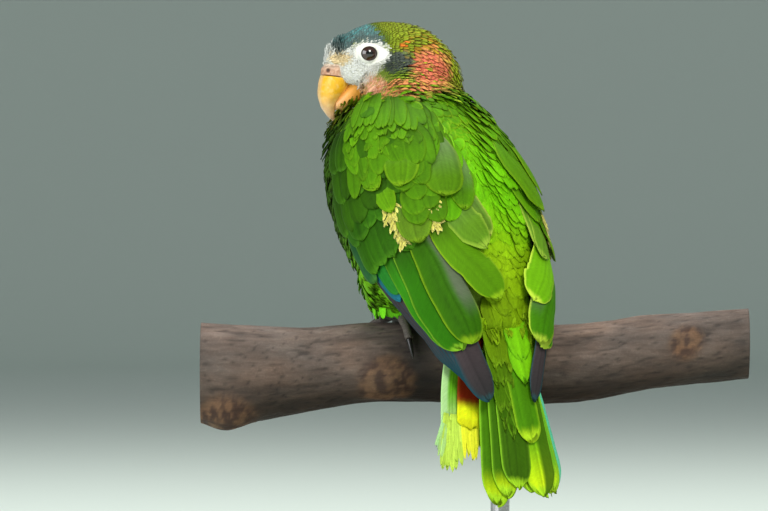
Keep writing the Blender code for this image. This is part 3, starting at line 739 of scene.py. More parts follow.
def bill_rings(rows, count, sides, sharp, full=0.8):
    """Rings in the head between a front and a back outline; sharp narrows their front."""
    turn = full_turn(sides)
    wide_by = np.sign(np.sin(turn)) * np.abs(np.sin(turn)) ** np.where(np.cos(turn) > 0, sharp, full)
    read = read_rows(rows, np.linspace(0, len(rows) - 1, count))
    front = np.stack([read[:, 0], 0 * read[:, 0], read[:, 1]], 1)[:, None]
    back = np.stack([read[:, 2], 0 * read[:, 2], read[:, 3]], 1)[:, None]
    across = (wide_by * read[:, 4:5])[..., None] * np.array([0, 1, 0])
    return (front + back) / 2 + np.cos(turn)[None, :, None] * (front - back) / 2 + across, turn


def clear_of_bill(points):
    """Draws the skin back from the room that the lower bill takes."""
    forward, left, up = np.moveaxis(to_head(points.reshape(-1, 3)), -1, 0)
    room = smooth_step((forward - 18.5) / 3) * smooth_step((up + 23.5) / 4) * smooth_step((-8 - up) / 3)
    forward = forward - 0.9 * room * (forward - 18.5).clip(0)
    return from_head(np.stack([forward, left, up], -1)).reshape(points.shape)


def head_rings(grow, count=40, sides=64):
    """Rings round the head from its front to its back, grown by some millimetres."""
    turn = full_turn(sides)
    full = np.sign(np.cos(turn)) * np.abs(np.cos(turn)) ** 0.9
    rings = []
    for forward, top, bottom, wide in read_rows(HEAD, np.linspace(0, len(HEAD) - 1, count)):
        middle, half = (top + bottom) / 2, (top - bottom) / 2 + grow
        ring = np.stack([np.full(sides, forward), full * (wide + grow), middle + half * np.sin(turn)], 1)
        rings.append(ring)
    rings[0][:, 0] += 0.3 * grow
    rings[-1][:, 0] -= grow
    return clear_of_bill(from_head(rings))


def forehead_rings(grow, sides=64):
    """The feathered front of the head over the cere."""
    rings = bill_rings((*CERE[1:], FOREHEAD_TOP), 60, sides, 1.0)[0][10:]
    return from_head(rings + unit(rings - rings.mean(1, keepdims=True)) * grow)


def knee_place(name, foot_x):
    """Where a feathered thigh ends over its foot."""
    return np.array([foot_x + SIDES[name] * KNEE_OUT, 0.0, THIGH_FOOT_LEVEL])


def thigh_rings(hip, knee, grow, sides=40):
    """Level rings from the hip down to the knee."""
    along = np.linspace(0, 1, len(THIGH_RADII))[:, None]
    line = np.hstack([hip + (knee - hip) * along, np.array(THIGH_RADII)[:, None]])
    rows = read_rows(line, np.linspace(0, len(THIGH_RADII) - 1, 16))
    turn = full_turn(sides)
    circle = np.stack([np.cos(turn), np.sin(turn), 0 * turn], 1)
    return rows[:, None, :3] + (rows[:, None, 3:] + grow) * circle


def make_skin():
    """One skin over the trunk, neck, head and thighs, which the coat stands on."""
    stations = np.linspace(NECK_TOP, RUMP_STATION, 90)
    angles = np.linspace(0, 360, 96, endpoint=False)
    depth = mix(SKIN_DEPTH_HEAD, SKIN_DEPTH_BODY, smooth_step((stations - 1.0) / 1.5))
    shapes = [loft(head_rings(-SKIN_DEPTH_HEAD)), loft(forehead_rings(-FOREHEAD_DEPTH))]
    shapes.append(loft(clear_of_bill(body_points(stations[:, None], angles, -depth[:, None]))))
    for name, foot_x, hip in LEGS:
        shapes.append(loft(thigh_rings(from_bird(hip), knee_place(name, foot_x), -SKIN_DEPTH_THIGH)))
    skin = new_object("skin", *joined(shapes))
    outward(skin)
    remeshed(skin, SKIN_VOXEL, 12)
    points = mesh_points(skin)
    colour = 0.75 * markings(points, 0.3)[0]
    map_points(skin, "OFBake", unwrap(points))
    covered = ("trunk", "neck", "head", "thigh_left", "thigh_right")
    return finished(skin, colour, skin_material(), "plumage_green", *covered)


def unwrap(points):
    """Places on an unwrap of the skin: round the head's axis above, and round the body below."""
    forward, left, up = to_head(points).T
    station, angle = body_place(points)
    head_turn = np.degrees(np.arctan2(up + 1, left)) % 360
    on_head = (forward > -30) & (up > -22 - 0.4 * (forward + 10).clip(-20, 0))
    on_head &= station < 1.6
    u = np.where(on_head, head_turn, angle) / 360 * 0.96 + 0.02
    v = np.where(on_head, 0.62 + 0.36 * (32 - forward) / 64, 0.02 + 0.56 * station / 10.5)
    return np.stack([u, np.clip(v, 0.01, 0.99)], 1)


skin = make_skin()
skin_tree = BVHTree.FromObject(skin, bpy.context.evaluated_depsgraph_get())
skin_normals = np.zeros(len(skin.data.vertices) * 3, np.float32)
skin.data.vertices.foreach_get("normal", skin_normals)
skin_normals = skin_normals.reshape(-1, 3)
skin_corners = [tuple(face.vertices) for face in skin.data.polygons]


def on_skin(points):
    """The nearest places on the skin, the smoothed normals there and how far off they are."""
    level = np.array([0, 0, PERCH_HEIGHT * MM])
    found, normals, far = [], [], []
    for point in (points * MM + level).tolist():
        where, _, index, distance = skin_tree.find_nearest(Vector(point))
        found.append(where)
        normals.append(skin_normals[list(skin_corners[index])].mean(0))
        far.append(distance)
    return (np.array(found) - level) / MM, unit(np.array(normals, float)), np.array(far) / MM


# ---------------------------------------------------------------- vanes


def vane_width(t, blunt=0.72, quill=0.4):
    """Share of its full width that a vane has at shares of its length."""
    widen = quill + (1 - quill) * np.sin(np.clip(t / 0.5, 0, 1) * math.pi / 2)
    return widen * np.sqrt(np.clip(1 - np.clip((t - blunt) / (1 - blunt), 0, 1) ** 2, 0.0004, 1))


def along_vane(rows):
    """Shares of a vane's length, closer together towards its tip."""
    return np.sin(np.linspace(0, math.pi / 2, rows))


def rim(t, c):
    """How near each place is to the vane's rim, 1 at the rim."""
    return np.maximum(np.abs(c)[None, :] + 0 * t[:, None], smooth_step((t - 0.72) / 0.28)[:, None])


def stained(t, c, base, edge, share=0.5, rim_from=0.7, tip=None, tip_from=0.75, tip_to=1.0, root=None,
            root_to=0.35, grain=0.08):
    """Vane colours (feathers, rows, columns, 3) from a colour for each feather."""
    count = len(base)
    colour = np.broadcast_to(base[:, None, None], (count, len(t), len(c), 3))
    if root is not None:
        colour = mix(np.asarray(root), colour, smooth_step(t / root_to)[None, :, None, None])
    if tip is not None:
        tip = tip[:, None, None] if np.ndim(tip) > 1 else tip
        colour = mix(colour, tip, smooth_step((t - tip_from) / (tip_to - tip_from))[None, :, None, None])
    near = smooth_step((rim(t, c) - rim_from) / (1 - rim_from))[None, :, :, None]
    colour = mix(colour, edge[:, None, None], near * np.asarray(share, float).reshape(-1, 1, 1, 1))
    streak = rng.normal(0, grain, (count, 1, len(c), 1))
    streak = streak + rng.normal(0, grain, (count, len(t), len(c), 1)) / 2
    whole = rng.normal(0, grain, (count, 1, 1, 1))
    return colour * (1 + streak + whole)


class Plumage:
    """Vanes that are joined into one mesh."""

    def __init__(self):
        self.points, self.faces, self.colours, self.vane, self.bake = [], [], [], [], []
        self.count = 0
        self.feathers = 0

    def add(self, grid, colour, x, y, bake, size, under=None, flip=False):
        """grid (feathers, rows, columns, 3); x, y in millimetres across and along each vane; bake the middle
        of each vane's patch and size its width; under the lower side of a vane with a thickness."""
        count, rows, columns = grid.shape[:3]
        top = grid_faces(rows, columns)
        layers = [grid]
        faces = [top]
        if under is not None:
            layers.append(under)
            n = rows * columns
            faces.append(top[:, ::-1] + n)
            i, j = np.arange(rows), np.arange(columns)
            border = np.concatenate(
                [j, i[1:] * columns + columns - 1, (rows - 1) * columns + j[-2::-1], i[-2:0:-1] * columns]
            )
            after = np.roll(border, -1)
            faces.append(np.stack([border, border + n, after + n, after], 1))
        faces = np.concatenate(faces)
        if flip:
            faces = faces[:, ::-1]
        per = rows * columns * len(layers)
        start = self.count + per * np.arange(count)
        self.faces.append((faces[None] + start[:, None, None]).reshape(-1, 4))
        x, y = np.broadcast_arrays(x, y)
        ident = (self.feathers + np.arange(count)) * 7.3
        vane = np.stack([np.abs(x) + ident[:, None, None], y - 0.8 * np.abs(x)], -1)
        c = np.linspace(-0.5, 0.5, columns)[None, None, :] + 0 * x
        r = np.linspace(-0.5, 0.5, rows)[None, :, None] + 0 * x
        size = np.asarray(size, float).reshape(-1, 1, 1, 1)
        patch = bake[:, None, None] + np.stack([c, r], -1) * size
        self.points.append(np.stack(layers, 1).reshape(-1, 3))
        for store, value in ((self.colours, colour), (self.vane, vane), (self.bake, patch)):
            store.append(np.stack([value] * len(layers), 1).reshape(-1, value.shape[-1]))
        self.count += per * count
        self.feathers += count

    def make(self, name, slot, material, *nodes):
        obj = new_object(name, np.concatenate(self.points), np.concatenate(self.faces))
        paint(obj, np.concatenate(self.colours))
        map_points(obj, "Vane", np.concatenate(self.vane))
        map_points(obj, "OFBake", np.concatenate(self.bake))
        obj.data.materials.append(material)
        return piece(obj, slot, *nodes)


# ---------------------------------------------------------------- the coat on the skin

PATCH = 0.003  # side of a tuft's patch in the bake map


def ring_places(ring, spacing, shift):
    """Places at an even spacing round a closed ring of points."""
    closed = np.vstack([ring, ring[:1]])
    reach = np.concatenate([[0], np.cumsum(np.linalg.norm(np.diff(closed, axis=0), axis=1))])
    count = max(3, int(reach[-1] / spacing))
    at = (np.arange(count) + shift + rng.normal(0, 0.16, count)) % count * reach[-1] / count
    return np.stack([np.interp(at, reach, closed[:, k]) for k in range(3)], 1)


def scattered(rings, most=3.4, along=0.25, across=0.40):
    """Places on the skin in staggered rings, where the skin is near; spacings are shares of vane length."""
    gathered = []
    travelled, row = 0.0, 0
    for i in range(1, len(rings)):
        travelled += np.linalg.norm(rings[i] - rings[i - 1], axis=1).mean()
        length = float(np.median(markings(rings[i][::8])[3]))
        if travelled < along * length:
            continue
        travelled, row = 0.0, row + 1
        gathered.append(ring_places(rings[i], across * length, 0.5 * (row % 2)))
    points = np.concatenate(gathered)
    places, normals, far = on_skin(points)
    keep = far < most
    return places[keep], normals[keep]


def walk(places, normals, ways, lengths, rows):
    """Lines down the skin from each place, with their normals and sideways directions."""
    shares = along_vane(rows)
    lines, ups, sides = [places], [normals], [unit(np.cross(ways, normals))]
    for i in range(1, rows):
        step = lengths * (shares[i] - shares[i - 1])
        ways = unit(ways - (ways * ups[-1]).sum(1, keepdims=True) * ups[-1])
        place, normal, _ = on_skin(lines[-1] + ways * step[:, None])
        normal = unit(0.5 * ups[-1] + 0.5 * normal)
        lines.append(place)
        ups.append(normal)
        sides.append(unit(np.cross(ways, normal)))
    return tuple(np.stack(x, 1) for x in (lines, ups, sides))


def coat(places, normals, rows, columns, width=0.8, depth=1.1, settle=1.4, ruffle=0.3, fray=0.06, blunt=0.62,
         grain=0.09, dome=0.12, tips=0.0):
    """Vanes over the skin, each lying over the ones behind it: width and fray are shares of its length."""
    length = markings(places)[3]
    length = length * rng.normal(1, 0.09, len(length))
    ways = lie(places, normals)
    ways = unit(ways + rng.normal(0, 0.06, (len(ways), 3)))
    colour, edge, share, _ = markings(places + 0.75 * length[:, None] * ways)
    t, c = along_vane(rows), np.linspace(-1, 1, columns)
    line, up, side = walk(places, normals, ways, length, rows)
    half = length * np.ravel(width) * rng.normal(1, 0.08, len(length)) / 2
    x = half[:, None, None] * vane_width(t, blunt)[:, None] * c
    x = x * (1 - 1.5 * fray * rng.random(x.shape) * np.abs(c) ** 3)
    raised = 1 - (1 - t) ** settle
    lift = np.asarray(depth) * (0.08 + 0.9 * raised) * rng.normal(1, 0.06, (len(places), 1))
    lift = lift + ruffle * t**3 * rng.random((len(places), 1))
    tilt = rng.normal(0, 0.4 * dome, (len(places), 1, 1)) * c * half[:, None, None] * t[:, None]
    curl = dome * half[:, None, None] * ((1 - c**2) * t[:, None] - 0.4 * c**2)
    rise = lift[..., None] + curl + tilt
    ahead = unit(line[:, 1:] - line[:, :-1])
    ahead = np.concatenate([ahead, ahead[:, -1:]], 1)
    teeth = fray * length[:, None, None] * rng.normal(0, 1, (len(places), 1, columns)) * (t**4)[:, None]
    grid = line[:, :, None] + side[:, :, None] * x[..., None] + up[:, :, None] * rise[..., None]
    grid = grid + ahead[:, :, None] * teeth[..., None]
    pale = smooth_step((colour.mean(1) - 0.3) / 0.3)[:, None]
    # Roots painted darker, less for pale feathers: partly the feathers' own darker bases, partly painted
    # shade under the feathers that overlap them.
    root = mix(0.5 * colour, 0.9 * colour, pale)[:, None, None]
    ruddy = smooth_step((colour[:, :1] - colour[:, 1:2]) / 0.4)
    tip = mix(colour, TIP_GREEN, np.asarray(tips) * (1 - 0.6 * ruddy) * (rng.random((len(places), 1)) < 0.6))
    stain = stained(t, c, colour, edge, share, 0.6, tip, 0.6, root=root, root_to=0.4, grain=grain)
    made = Plumage()
    made.add(grid, stain, x, length[:, None, None] * t[:, None], unwrap(places), PATCH)
    return made


def wing_top(station, side):
    """The upper edge of a folded wing, in degrees from its side to the back."""
    return np.interp(station, *np.transpose(RIGHT_WING_EDGE if side > 0 else LEFT_WING_EDGE))


def beside_wings(places):
    """Degrees from each place up to the nearer wing's upper edge, where a wing lies over the body."""
    station, angle = body_place(places)
    under = np.full(len(places), -90.0)
    for side in SIDES.values():
        own = (np.where(angle > 270, angle - 360, angle)) if side > 0 else 180 - angle
        on_wing = (station > 1.8) & (station < 7.6) & (own > 4)
        under = np.where(on_wing, np.maximum(under, wing_top(station, side) - own), under)
    return under


TROUSER_FEATHERS = 54
TROUSER_GREEN = (0.18, 0.68, 0.015)


def trousers(made, name, foot_x):
    """Loose feathers that hang from the thigh to the top of the perch, round the foot."""
    centre, radius = perch_at(foot_x)
    count = TROUSER_FEATHERS
    turn = full_turn(count) + rng.normal(0, 0.05, count)
    out = np.stack([np.cos(turn), np.sin(turn), 0 * turn], 1)
    middle = np.array([foot_x + SIDES[name] * KNEE_OUT, 0.0, 0.0])
    reach = THIGH_RADII[-1] + rng.uniform(-2.0, 1.6, count)
    high = THIGH_FOOT_LEVEL + rng.uniform(2.0, 9.0, count)
    low = centre[2] + radius + rng.uniform(0.8, 3.5, count)
    t, c = along_vane(8), np.linspace(-1, 1, 7)
    spread = reach[:, None] * (1 - 0.12 * t)
    level = mix(high[:, None], low[:, None], t)[..., None]
    line = middle + out[:, None] * spread[..., None] + np.array([0, 0, 1.0]) * level
    aside = np.stack([-np.sin(turn), np.cos(turn), 0 * turn], 1)
    x = (rng.uniform(1.8, 2.8, count)[:, None, None] * vane_width(t, 0.4)[:, None] * c)
    grid = line[:, :, None] + aside[:, None, None] * x[..., None]
    colour = TROUSER_GREEN * rng.normal(1.0, 0.15, (count, 1))
    stain = stained(t, c, colour, np.tile(np.array(DUSK), (count, 1)), 0.2)
    made.add(grid, stain, x, (high - low)[:, None, None] * t[:, None], unwrap(line[:, 0]), PATCH)


def head_coat(look):
    """Rings of feathers backwards from the bill, and the forehead over the cere."""
    places, normals = scattered(head_rings(-SKIN_DEPTH_HEAD, 260, 128), 2.4, 0.42, 0.25)
    front, front_normals = scattered(forehead_rings(-FOREHEAD_DEPTH, sides=128)[::-1], 1.0, 0.3, 0.5)
    forward, up, _ = head_seen(places)
    # Nothing grows on the bare eye-ring, the cere and the bill.
    clear = (np.hypot((forward - 14.6) / 7.6, (up - 4.6) / 5.0) < 1) | ((forward > 29.5) & (up < 6))
    clear |= (forward > 21.5) & (up < -10.5 + 0.5 * (forward - 24))
    forward, up, _ = head_seen(front)
    keep = (up > -1.8) & (forward > 27)
    places = np.concatenate([places[~clear], front[keep]])
    normals = np.concatenate([normals[~clear], front_normals[keep]])
    forward, up, _ = head_seen(places)
    rear = smooth_step((6 - forward) / 30)
    crown = smooth_step((up - 4) / 8)
    brow = smooth_step((forward - 26) / 4) * smooth_step((up - 2) / 3)
    nape = smooth_step((8 - forward) / 16)
    slim = mix(0.46, 0.31, nape)[:, None]
    depth = (0.8 - 0.15 * crown * (1 - brow) + 0.8 * rear + 1.8 * brow)[:, None]
    ruffle = (0.15 + 0.05 * crown + 0.5 * nape + 0.4 * brow)[:, None]
    made = coat(places, normals, 6, 5, slim, depth, 1.15, ruffle, 0.05, 0.4, tips=0.8 * nape[:, None])
    made.make("coat_head", "plumage_head", look)


def body_rings(first, last, count, depth):
    """Rings of points down the body, at a depth under the outline of its feathers."""
    stations, angles = np.linspace(first, last, count), np.linspace(0, 360, 160, endpoint=False)
    return body_points(stations[:, None], angles, -depth)


def neck_coat(look):
    places, normals = scattered(body_rings(0.4, 2.2, 200, 1.8), 2.2, 0.32, 0.18)
    forward, up, _ = head_seen(places)
    clear = ((forward > 21) & (up > -20.5)) | (np.hypot(forward - 13.5, up + 12.5) < 2.2)
    places, normals, forward, up = (a[~clear] for a in (places, normals, forward, up))
    # The feathers of the neck's front are full, up to the lower bill.
    front = smooth_step((forward - 4) / 8) * smooth_step((-15 - up) / 5)
    station, angle = body_place(places)
    right = smooth_step((station - 1.2) / 0.7) * ((angle < 100) | (angle > 320))
    depth = (2.1 + 2.6 * front + 2.8 * right)[:, None]
    tips = (0.7 * (1 - smooth_step(forward / 10)))[:, None]
    made = coat(places, normals, 8, 5, 0.26, depth, 1.2, 0.9, 0.05, 0.4, tips=tips)
    made.make("coat_neck", "plumage_head", look)


def body_coats(look):
    """The back's feathers lie smooth under the wings' edges, and the breast's are full beside them."""
    places, normals = scattered(body_rings(1.45, 8.3, 800, SKIN_DEPTH_BODY), 2.4, 0.2, 0.36)
    under = beside_wings(places)
    station, angle = body_place(places)
    upper = (angle > 5) & (angle < 175)
    # On the right the mantle's feathers lie over the upper edge of the wing.
    over_right = (angle < 90) & (station < 4.2)
    keep = np.where(upper, under < np.where(over_right, 34, 12), under < 40)
    places, normals, under, upper, station, over_right = (
        a[keep] for a in (places, normals, under, upper, station, over_right)
    )
    past_edge = np.where(over_right, np.minimum(under, 0), under)
    over_wing = mix(3.2, 4.4, over_right) * np.exp(-(((past_edge + 1) / 9) ** 2))
    over_wing = over_wing * smooth_step((station - 1.5) / 0.7) * smooth_step((6.2 - station) / 1.2)
    depth = (2.6 + over_wing)[upper][:, None]
    wide = mix(0.28, 0.74, smooth_step((station[upper] - 1.9) / 0.9))[:, None]
    ruffle = 0.05 + 0.1 * smooth_step((station - 5.2) / 1.6)[upper][:, None]
    made = coat(places[upper], normals[upper], 11, 13, wide, depth, 2.2, ruffle, 0.02, 0.5, dome=0.03)
    made.make("coat_back", "plumage_green", look)
    full = 1.3 * smooth_step((station - 1.9) / 0.8) * smooth_step((6.9 - station) / 0.5)
    depth = (2.5 + full)[~upper][:, None]
    made = coat(places[~upper], normals[~upper], 8, 9, 0.6, depth, 1.6, 0.6, 0.06, 0.5)
    made.make("coat_breast", "plumage_green", look)


def thigh_coat(look):
    gathered = []
    for name, foot_x, hip in LEGS:
        rings = thigh_rings(from_bird(hip), knee_place(name, foot_x), -SKIN_DEPTH_THIGH, 60)
        gathered += [ring_places(ring, 3.0, 0.5 * (i % 2)) for i, ring in enumerate(rings)]
    places, normals, far = on_skin(np.concatenate(gathered))
    near = far < 0.6
    made = coat(places[near], normals[near], 9, 9, 0.5, 1.9, 1.2, 0.9, 0.1)
    for name, foot_x, _ in LEGS:
        trousers(made, name, foot_x)
    made.make("coat_thighs", "plumage_green", look)


# ---------------------------------------------------------------- wings

PURPLE_SLATE = (0.060, 0.045, 0.050)
DARK_TIP = (0.034, 0.032, 0.034)
TEAL_WEB = (0.015, 0.14, 0.19)
BLUE_WEB = (0.010, 0.075, 0.10)
T1_GREEN = (0.095, 0.26, 0.003)
T2_GREEN = (0.038, 0.15, 0.002)
S3_GREEN = (0.026, 0.15, 0.002)
LESSER_GREEN = (0.034, 0.115, 0.002)
COVERT_GREEN = (0.033, 0.135, 0.003)
SCAPULAR_GREEN = (0.11, 0.29, 0.003)
SHOULDER_GREEN = (0.050, 0.170, 0.003)
BLUE_GREEN = (0.012, 0.13, 0.08)
RIGHT_WING_LIFT = (18.0, 6.6, 1.4)
COLLAR_LEVEL = 129.0

THIN_RIM = (0.3, 0.6, 0.03)
# Feathers by their middle lines in stations and degrees, width, height over the body at root and tip,
# colour, rim colour and share of rim
# Painted sheen: a pale grey-green highlight painted over the roots of the left wing's large scapulars.
PAINTED_SHEEN = (0.17, 0.28, 0.10)
RIGHT_ROOT = (0.10, 0.30, 0.01)
SCAPULARS = (
    (((3.8, 80), (4.8, 78), (5.61, 75)), 13, 0.8, 5.6, MANTLE, FRINGE, 0.3),
    (((4.5, 70), (5.5, 79), (6.40, 88)), 15, 0.8, 5.2, (0.13, 0.27, 0.02), (0.5, 0.66, 0.08), 0.8),
    (((4.3, 60), (5.6, 71), (6.63, 84)), 17, 1.2, 6.2, (0.11, 0.25, 0.012), (0.4, 0.6, 0.06), 0.6),
    (((3.9, 47), (5.1, 46), (6.18, 42)), 18, 2.6, 7.2, (0.13, 0.27, 0.012), FRINGE, 0.3),
    (((3.4, 32), (4.2, 31), (5.13, 34)), 11, 3.0, 6.8, SCAPULAR_GREEN, FRINGE, 0.3),
    (((3.0, 22), (3.8, 24), (4.44, 30)), 12, 3.4, 7.4, SCAPULAR_GREEN, FRINGE, 0.3),
    (((3.5, 70), (4.3, 68), (5.28, 66)), 20, 2.6, 8.4, (0.090, 0.235, 0.003), FRINGE, 0.35),
    (((3.0, 49), (3.8, 48), (4.62, 44)), 17.5, 3.4, 8.8, (0.090, 0.235, 0.003), FRINGE, 0.35),
)
# The same for the inner flight feathers, with the colour of an inner web
TERTIALS = (
    (((5.0, 56), (6.45, 62), (7.05, 72), (7.66, 85)), 19, 3.6, 5.2, T1_GREEN, FRINGE, 0.8, None),
    (((5.2, 44), (6.5, 45), (7.5, 42), (8.58, 46)), 20, 3.0, 4.4, T2_GREEN, FRINGE, 0.7, (0.15, 0.18, 0.12)),
    (((5.1, 32), (6.9, 28), (7.83, 24), (8.70, 33)), 18, 2.4, 3.6, S3_GREEN, THIN_RIM, 0.7, None),
    (((5.0, 20), (6.9, 17), (7.8, 15), (8.60, 25)), 13, 1.9, 2.9, (0.035, 0.24, 0.006), THIN_RIM, 0.5, None),
    (((4.9, 8), (5.8, 6), (6.4, 6), (6.9, 8)), 8, 1.5, 2.3, (0.02, 0.2, 0.02), (0.05, 0.3, 0.05), 0.6, None),
    (((4.8, 1), (5.6, 1), (6.3, 0), (7.0, 3)), 7, 1.2, 1.9, TEAL_WEB, (0.02, 0.2, 0.28), 0.6, None),
)
PRIMARY_COUNT = 8
PRIMARY_ROOTS = ((5.7, -9.0), (6.2, 24.0))
PRIMARY_MIDDLES = ((8.05, -11.0), (8.1, 32.0))
PRIMARY_TIPS = ((9.75, 43.0), (10.14, 51.5))
PRIMARY_RIM = (0.02, 0.09, 0.10)
RIGHT_PRIMARY_WIDTH = 0.55
# Rows of coverts: stations of root and tip, first and last angle, width, height at root and tip, colour
COVERT_ROWS = (
    (4.4, 6.1, 48, -7, 13.0, 3.0, 4.2, COVERT_GREEN),
    (3.9, 5.3, 48, -7, 13.0, 3.8, 4.9, COVERT_GREEN),
    (3.5, 4.75, 48, -6, 12.5, 4.5, 5.7, LESSER_GREEN),
    (3.1, 4.2, 48, -3, 12.0, 5.0, 6.3, LESSER_GREEN),
    (2.7, 3.65, 46, 2, 11.5, 5.5, 6.8, LESSER_GREEN),
    (2.35, 3.15, 44, 8, 10.5, 5.2, 6.5, LESSER_GREEN),
    (2.0, 2.75, 42, 16, 10.0, 3.6, 5.4, SHOULDER_GREEN),
    (1.7, 2.35, 40, 24, 9.0, 2.2, 4.0, (0.075, 0.235, 0.004)),
)
# The right wing, farther from the light, is given brighter feathers.
RIGHT_BRIGHTER = {"coverts": 1.7, "tertials": 1.9, "scapulars": 1.25}
RIGHT_TERTIAL_RIM = (0.75, 1.0, 0.08)
# Downy yellow tufts that show between the feathers: station, angle, spread in degrees and height
DOWN = (
    (5.30, 35, 2.6, 5.6),
    (5.55, 34, 2.2, 5.2),
    (5.85, 33, 1.2, 4.8),
    (5.45, 58, 0.9, 6.6),
    (5.80, 56, 1.2, 6.0),
)
DOWN_TUFTS = 34
DOWN_YELLOW = (0.72, 0.66, 0.13)
DOWN_TIP = (0.95, 0.9, 0.4)
# How the vanes of each tract are made
MANTLE_VANE = {"rows": 14, "columns": 11, "blunt": 0.42, "crown": 0.06, "thickness": 0.15, "fray": 0.012}
TRACT_VANE = {"rows": 14, "columns": 15, "blunt": 0.5, "crown": 0.06, "thickness": 0.2, "fray": 0.015}
COVERT_VANE = {"rows": 14, "columns": 13, "blunt": 0.62, "crown": 0.09, "thickness": 0.25, "fray": 0.015}
SCAPULAR_VANE = {"rows": 24, "columns": 21, "blunt": 0.66, "crown": 0.06, "fray": 0.012, "rim_from": 0.8}
PRIMARY_VANE = {"rows": 34, "columns": 13, "cells": 9, "blunt": 0.72, "lean": 0.04, "rim_from": 0.86,
                "outer": BLUE_WEB, "outer_from": 0.72, "tip": DARK_TIP, "tip_from": 0.45, "grain": 0.05}
# The tertials' roots are painted near black: partly their dark bases, partly painted shade under the coverts
# over them.
TERTIAL_VANE = {"rows": 34, "columns": 17, "cells": 9, "blunt": 0.78, "lean": 0.07, "crown": 0.07,
                "rim_from": 0.86, "root": DUSK, "grain": 0.06}
DOWN_VANE = {"rows": 8, "columns": 5, "blunt": 0.4, "thickness": 0.12, "fray": 0.08}


def wing_points(side, station, own, height):
    """Points over the body on a wing, at degrees from its outer side to the back."""
    if side > 0:
        rise, start, reach = RIGHT_WING_LIFT
        least = -12.0 + rise * smooth_step((station - start) / reach)
        share = (own + 12.0) / (wing_top(station, -1) + 12.0)
        own = least + share * (wing_top(station, 1) - least)
    flare = np.interp(station, *np.transpose(WING_FLARE)) * (RIGHT_WING_TUCK if side > 0 else 1.0)
    stand_off = flare * (1 - smooth_step(np.minimum(own, 180 - own) / FLARE_WIDTH))
    return body_points(station, own if side > 0 else 180 - own, WING_INSET + height + stand_off)


def teeth_at_tip(t, columns, fray):
    """Uneven lengths of the barbs at a vane's tip, as shares of its length."""
    return fray * rng.normal(0, 1, (1, columns)) * (t**6)[:, None]


def wing_vane(side, middle, width, low, high, rows, columns, lean=0.0, blunt=0.75, crown=0.05,
              thickness=0.35, fray=0.01):
    """Upper and lower grid of one feather on a wing, with its places across and along in millimetres."""
    t, c = along_vane(rows), np.linspace(-1, 1, columns)
    s, a = read_rows(middle, t * (len(middle) - 1)).T
    h = mix(low, high, t)
    step = 0.01
    line = wing_points(side, s, a, h)
    by_s = (wing_points(side, s + step, a, h) - line) / step
    by_a = wing_points(side, s, a + 1.0, h) - line
    out = unit(np.cross(by_s, by_a))
    out *= np.sign((out * (wing_points(side, s, a, h + 1) - line)).sum(1, keepdims=True))
    ahead = np.gradient(line, axis=0)
    sideways = -side * unit(np.cross(unit(ahead), out))
    ss, sa, aa = (by_s * by_s).sum(1), (by_s * by_a).sum(1), (by_a * by_a).sum(1)
    ps, pa = (by_s * sideways).sum(1), (by_a * sideways).sum(1)
    det = ss * aa - sa * sa
    ds, da = (ps * aa - pa * sa) / det, (pa * ss - ps * sa) / det
    length = np.linalg.norm(ahead, axis=1).sum()
    half = width / 2 * vane_width(t, blunt)
    x = half[:, None] * c
    x = x * (1 - 2 * fray * rng.random(x.shape) * np.abs(c) ** 4)
    rise = h[:, None] + crown * half[:, None] * (1 - c**2) + lean * c * half[:, None]
    stations_per_mm = (unit(ahead) * by_s).sum(1) / ss
    at = s[:, None] + ds[:, None] * x + teeth_at_tip(t, columns, fray) * (length * stations_per_mm)[:, None]
    own = a[:, None] + da[:, None] * x
    top = wing_points(side, at, own, rise)
    under = wing_points(side, at, own, rise - thickness)
    return top, under, x, length * t[:, None] + 0 * x


def atlas(place, of):
    """Middle of the patch that a large feather has in its bake map."""
    wide = int(math.ceil(math.sqrt(of)))
    return np.array([[(place % wide + 0.5) / wide, (place // wide + 0.5) / wide]])


def webs(stain, t, c, inner=None, outer=None, outer_from=0.1):
    """Colours of a vane whose two webs differ, with its darker shaft."""
    if inner is not None:
        inside = smooth_step((-c - 0.05) / 0.4) * (1 - smooth_step((t - 0.66) / 0.2))[:, None]
        stain = mix(stain, inner, 0.85 * inside[None, :, :, None])
    if outer is not None:
        stain = mix(stain, outer, 0.9 * smooth_step((c - outer_from) / 0.25)[None, None, :, None])
    return mix(stain, 0.5 * stain, 0.3 * np.exp(-((c / 0.06) ** 2))[None, None, :, None])


def vane_stain(rows, columns, base, edge, share, inner=None, outer=None, outer_from=0.1, **colours):
    """Colours of one large vane."""
    t, c = along_vane(rows), np.linspace(-1, 1, columns)
    stain = stained(t, c, np.array([base]), np.array([edge]), share, **colours)
    return webs(stain, t, c, inner, outer, outer_from)


def add_large(made, top, under, x, y, stain, cells, flip):
    """Adds one large vane, with a patch of its own in the bake map."""
    patch = 0.9 / math.ceil(math.sqrt(cells))
    place = atlas(made.feathers, cells)
    made.add(top[None], stain, x[None], y[None], place, patch, under=under[None], flip=flip)


SHAPE_KEYS = ("lean", "blunt", "crown", "thickness", "fray")


def add_wing_vane(made, side, middle, width, low, high, base, edge, share, rows, columns, cells=400, **more):
    """One feather of a wing, from its middle line, width, heights and colours."""
    shape = {key: more.pop(key) for key in SHAPE_KEYS if key in more}
    top, under, x, y = wing_vane(side, middle, width, low, high, rows, columns, **shape)
    add_large(made, top, under, x, y, vane_stain(rows, columns, base, edge, share, **more), cells, side > 0)


def under_collar(side, root, own):
    """How far a feather's root lies below the line where the mantle meets the neck."""
    return COLLAR_LEVEL - wing_points(side, root, own, 3.0)[2]


def tract_height(side, root, own):
    """Height of the upper feathers over the body, low near the neck and towards the back."""
    near_neck = smooth_step(under_collar(side, root, own) / (26 if side > 0 else 18))
    towards_back = smooth_step((own - 56) / 24)
    return mix(0.4, 2.4, near_neck) + (3.4 if side > 0 else 4.6) * (1 - towards_back) * near_neck


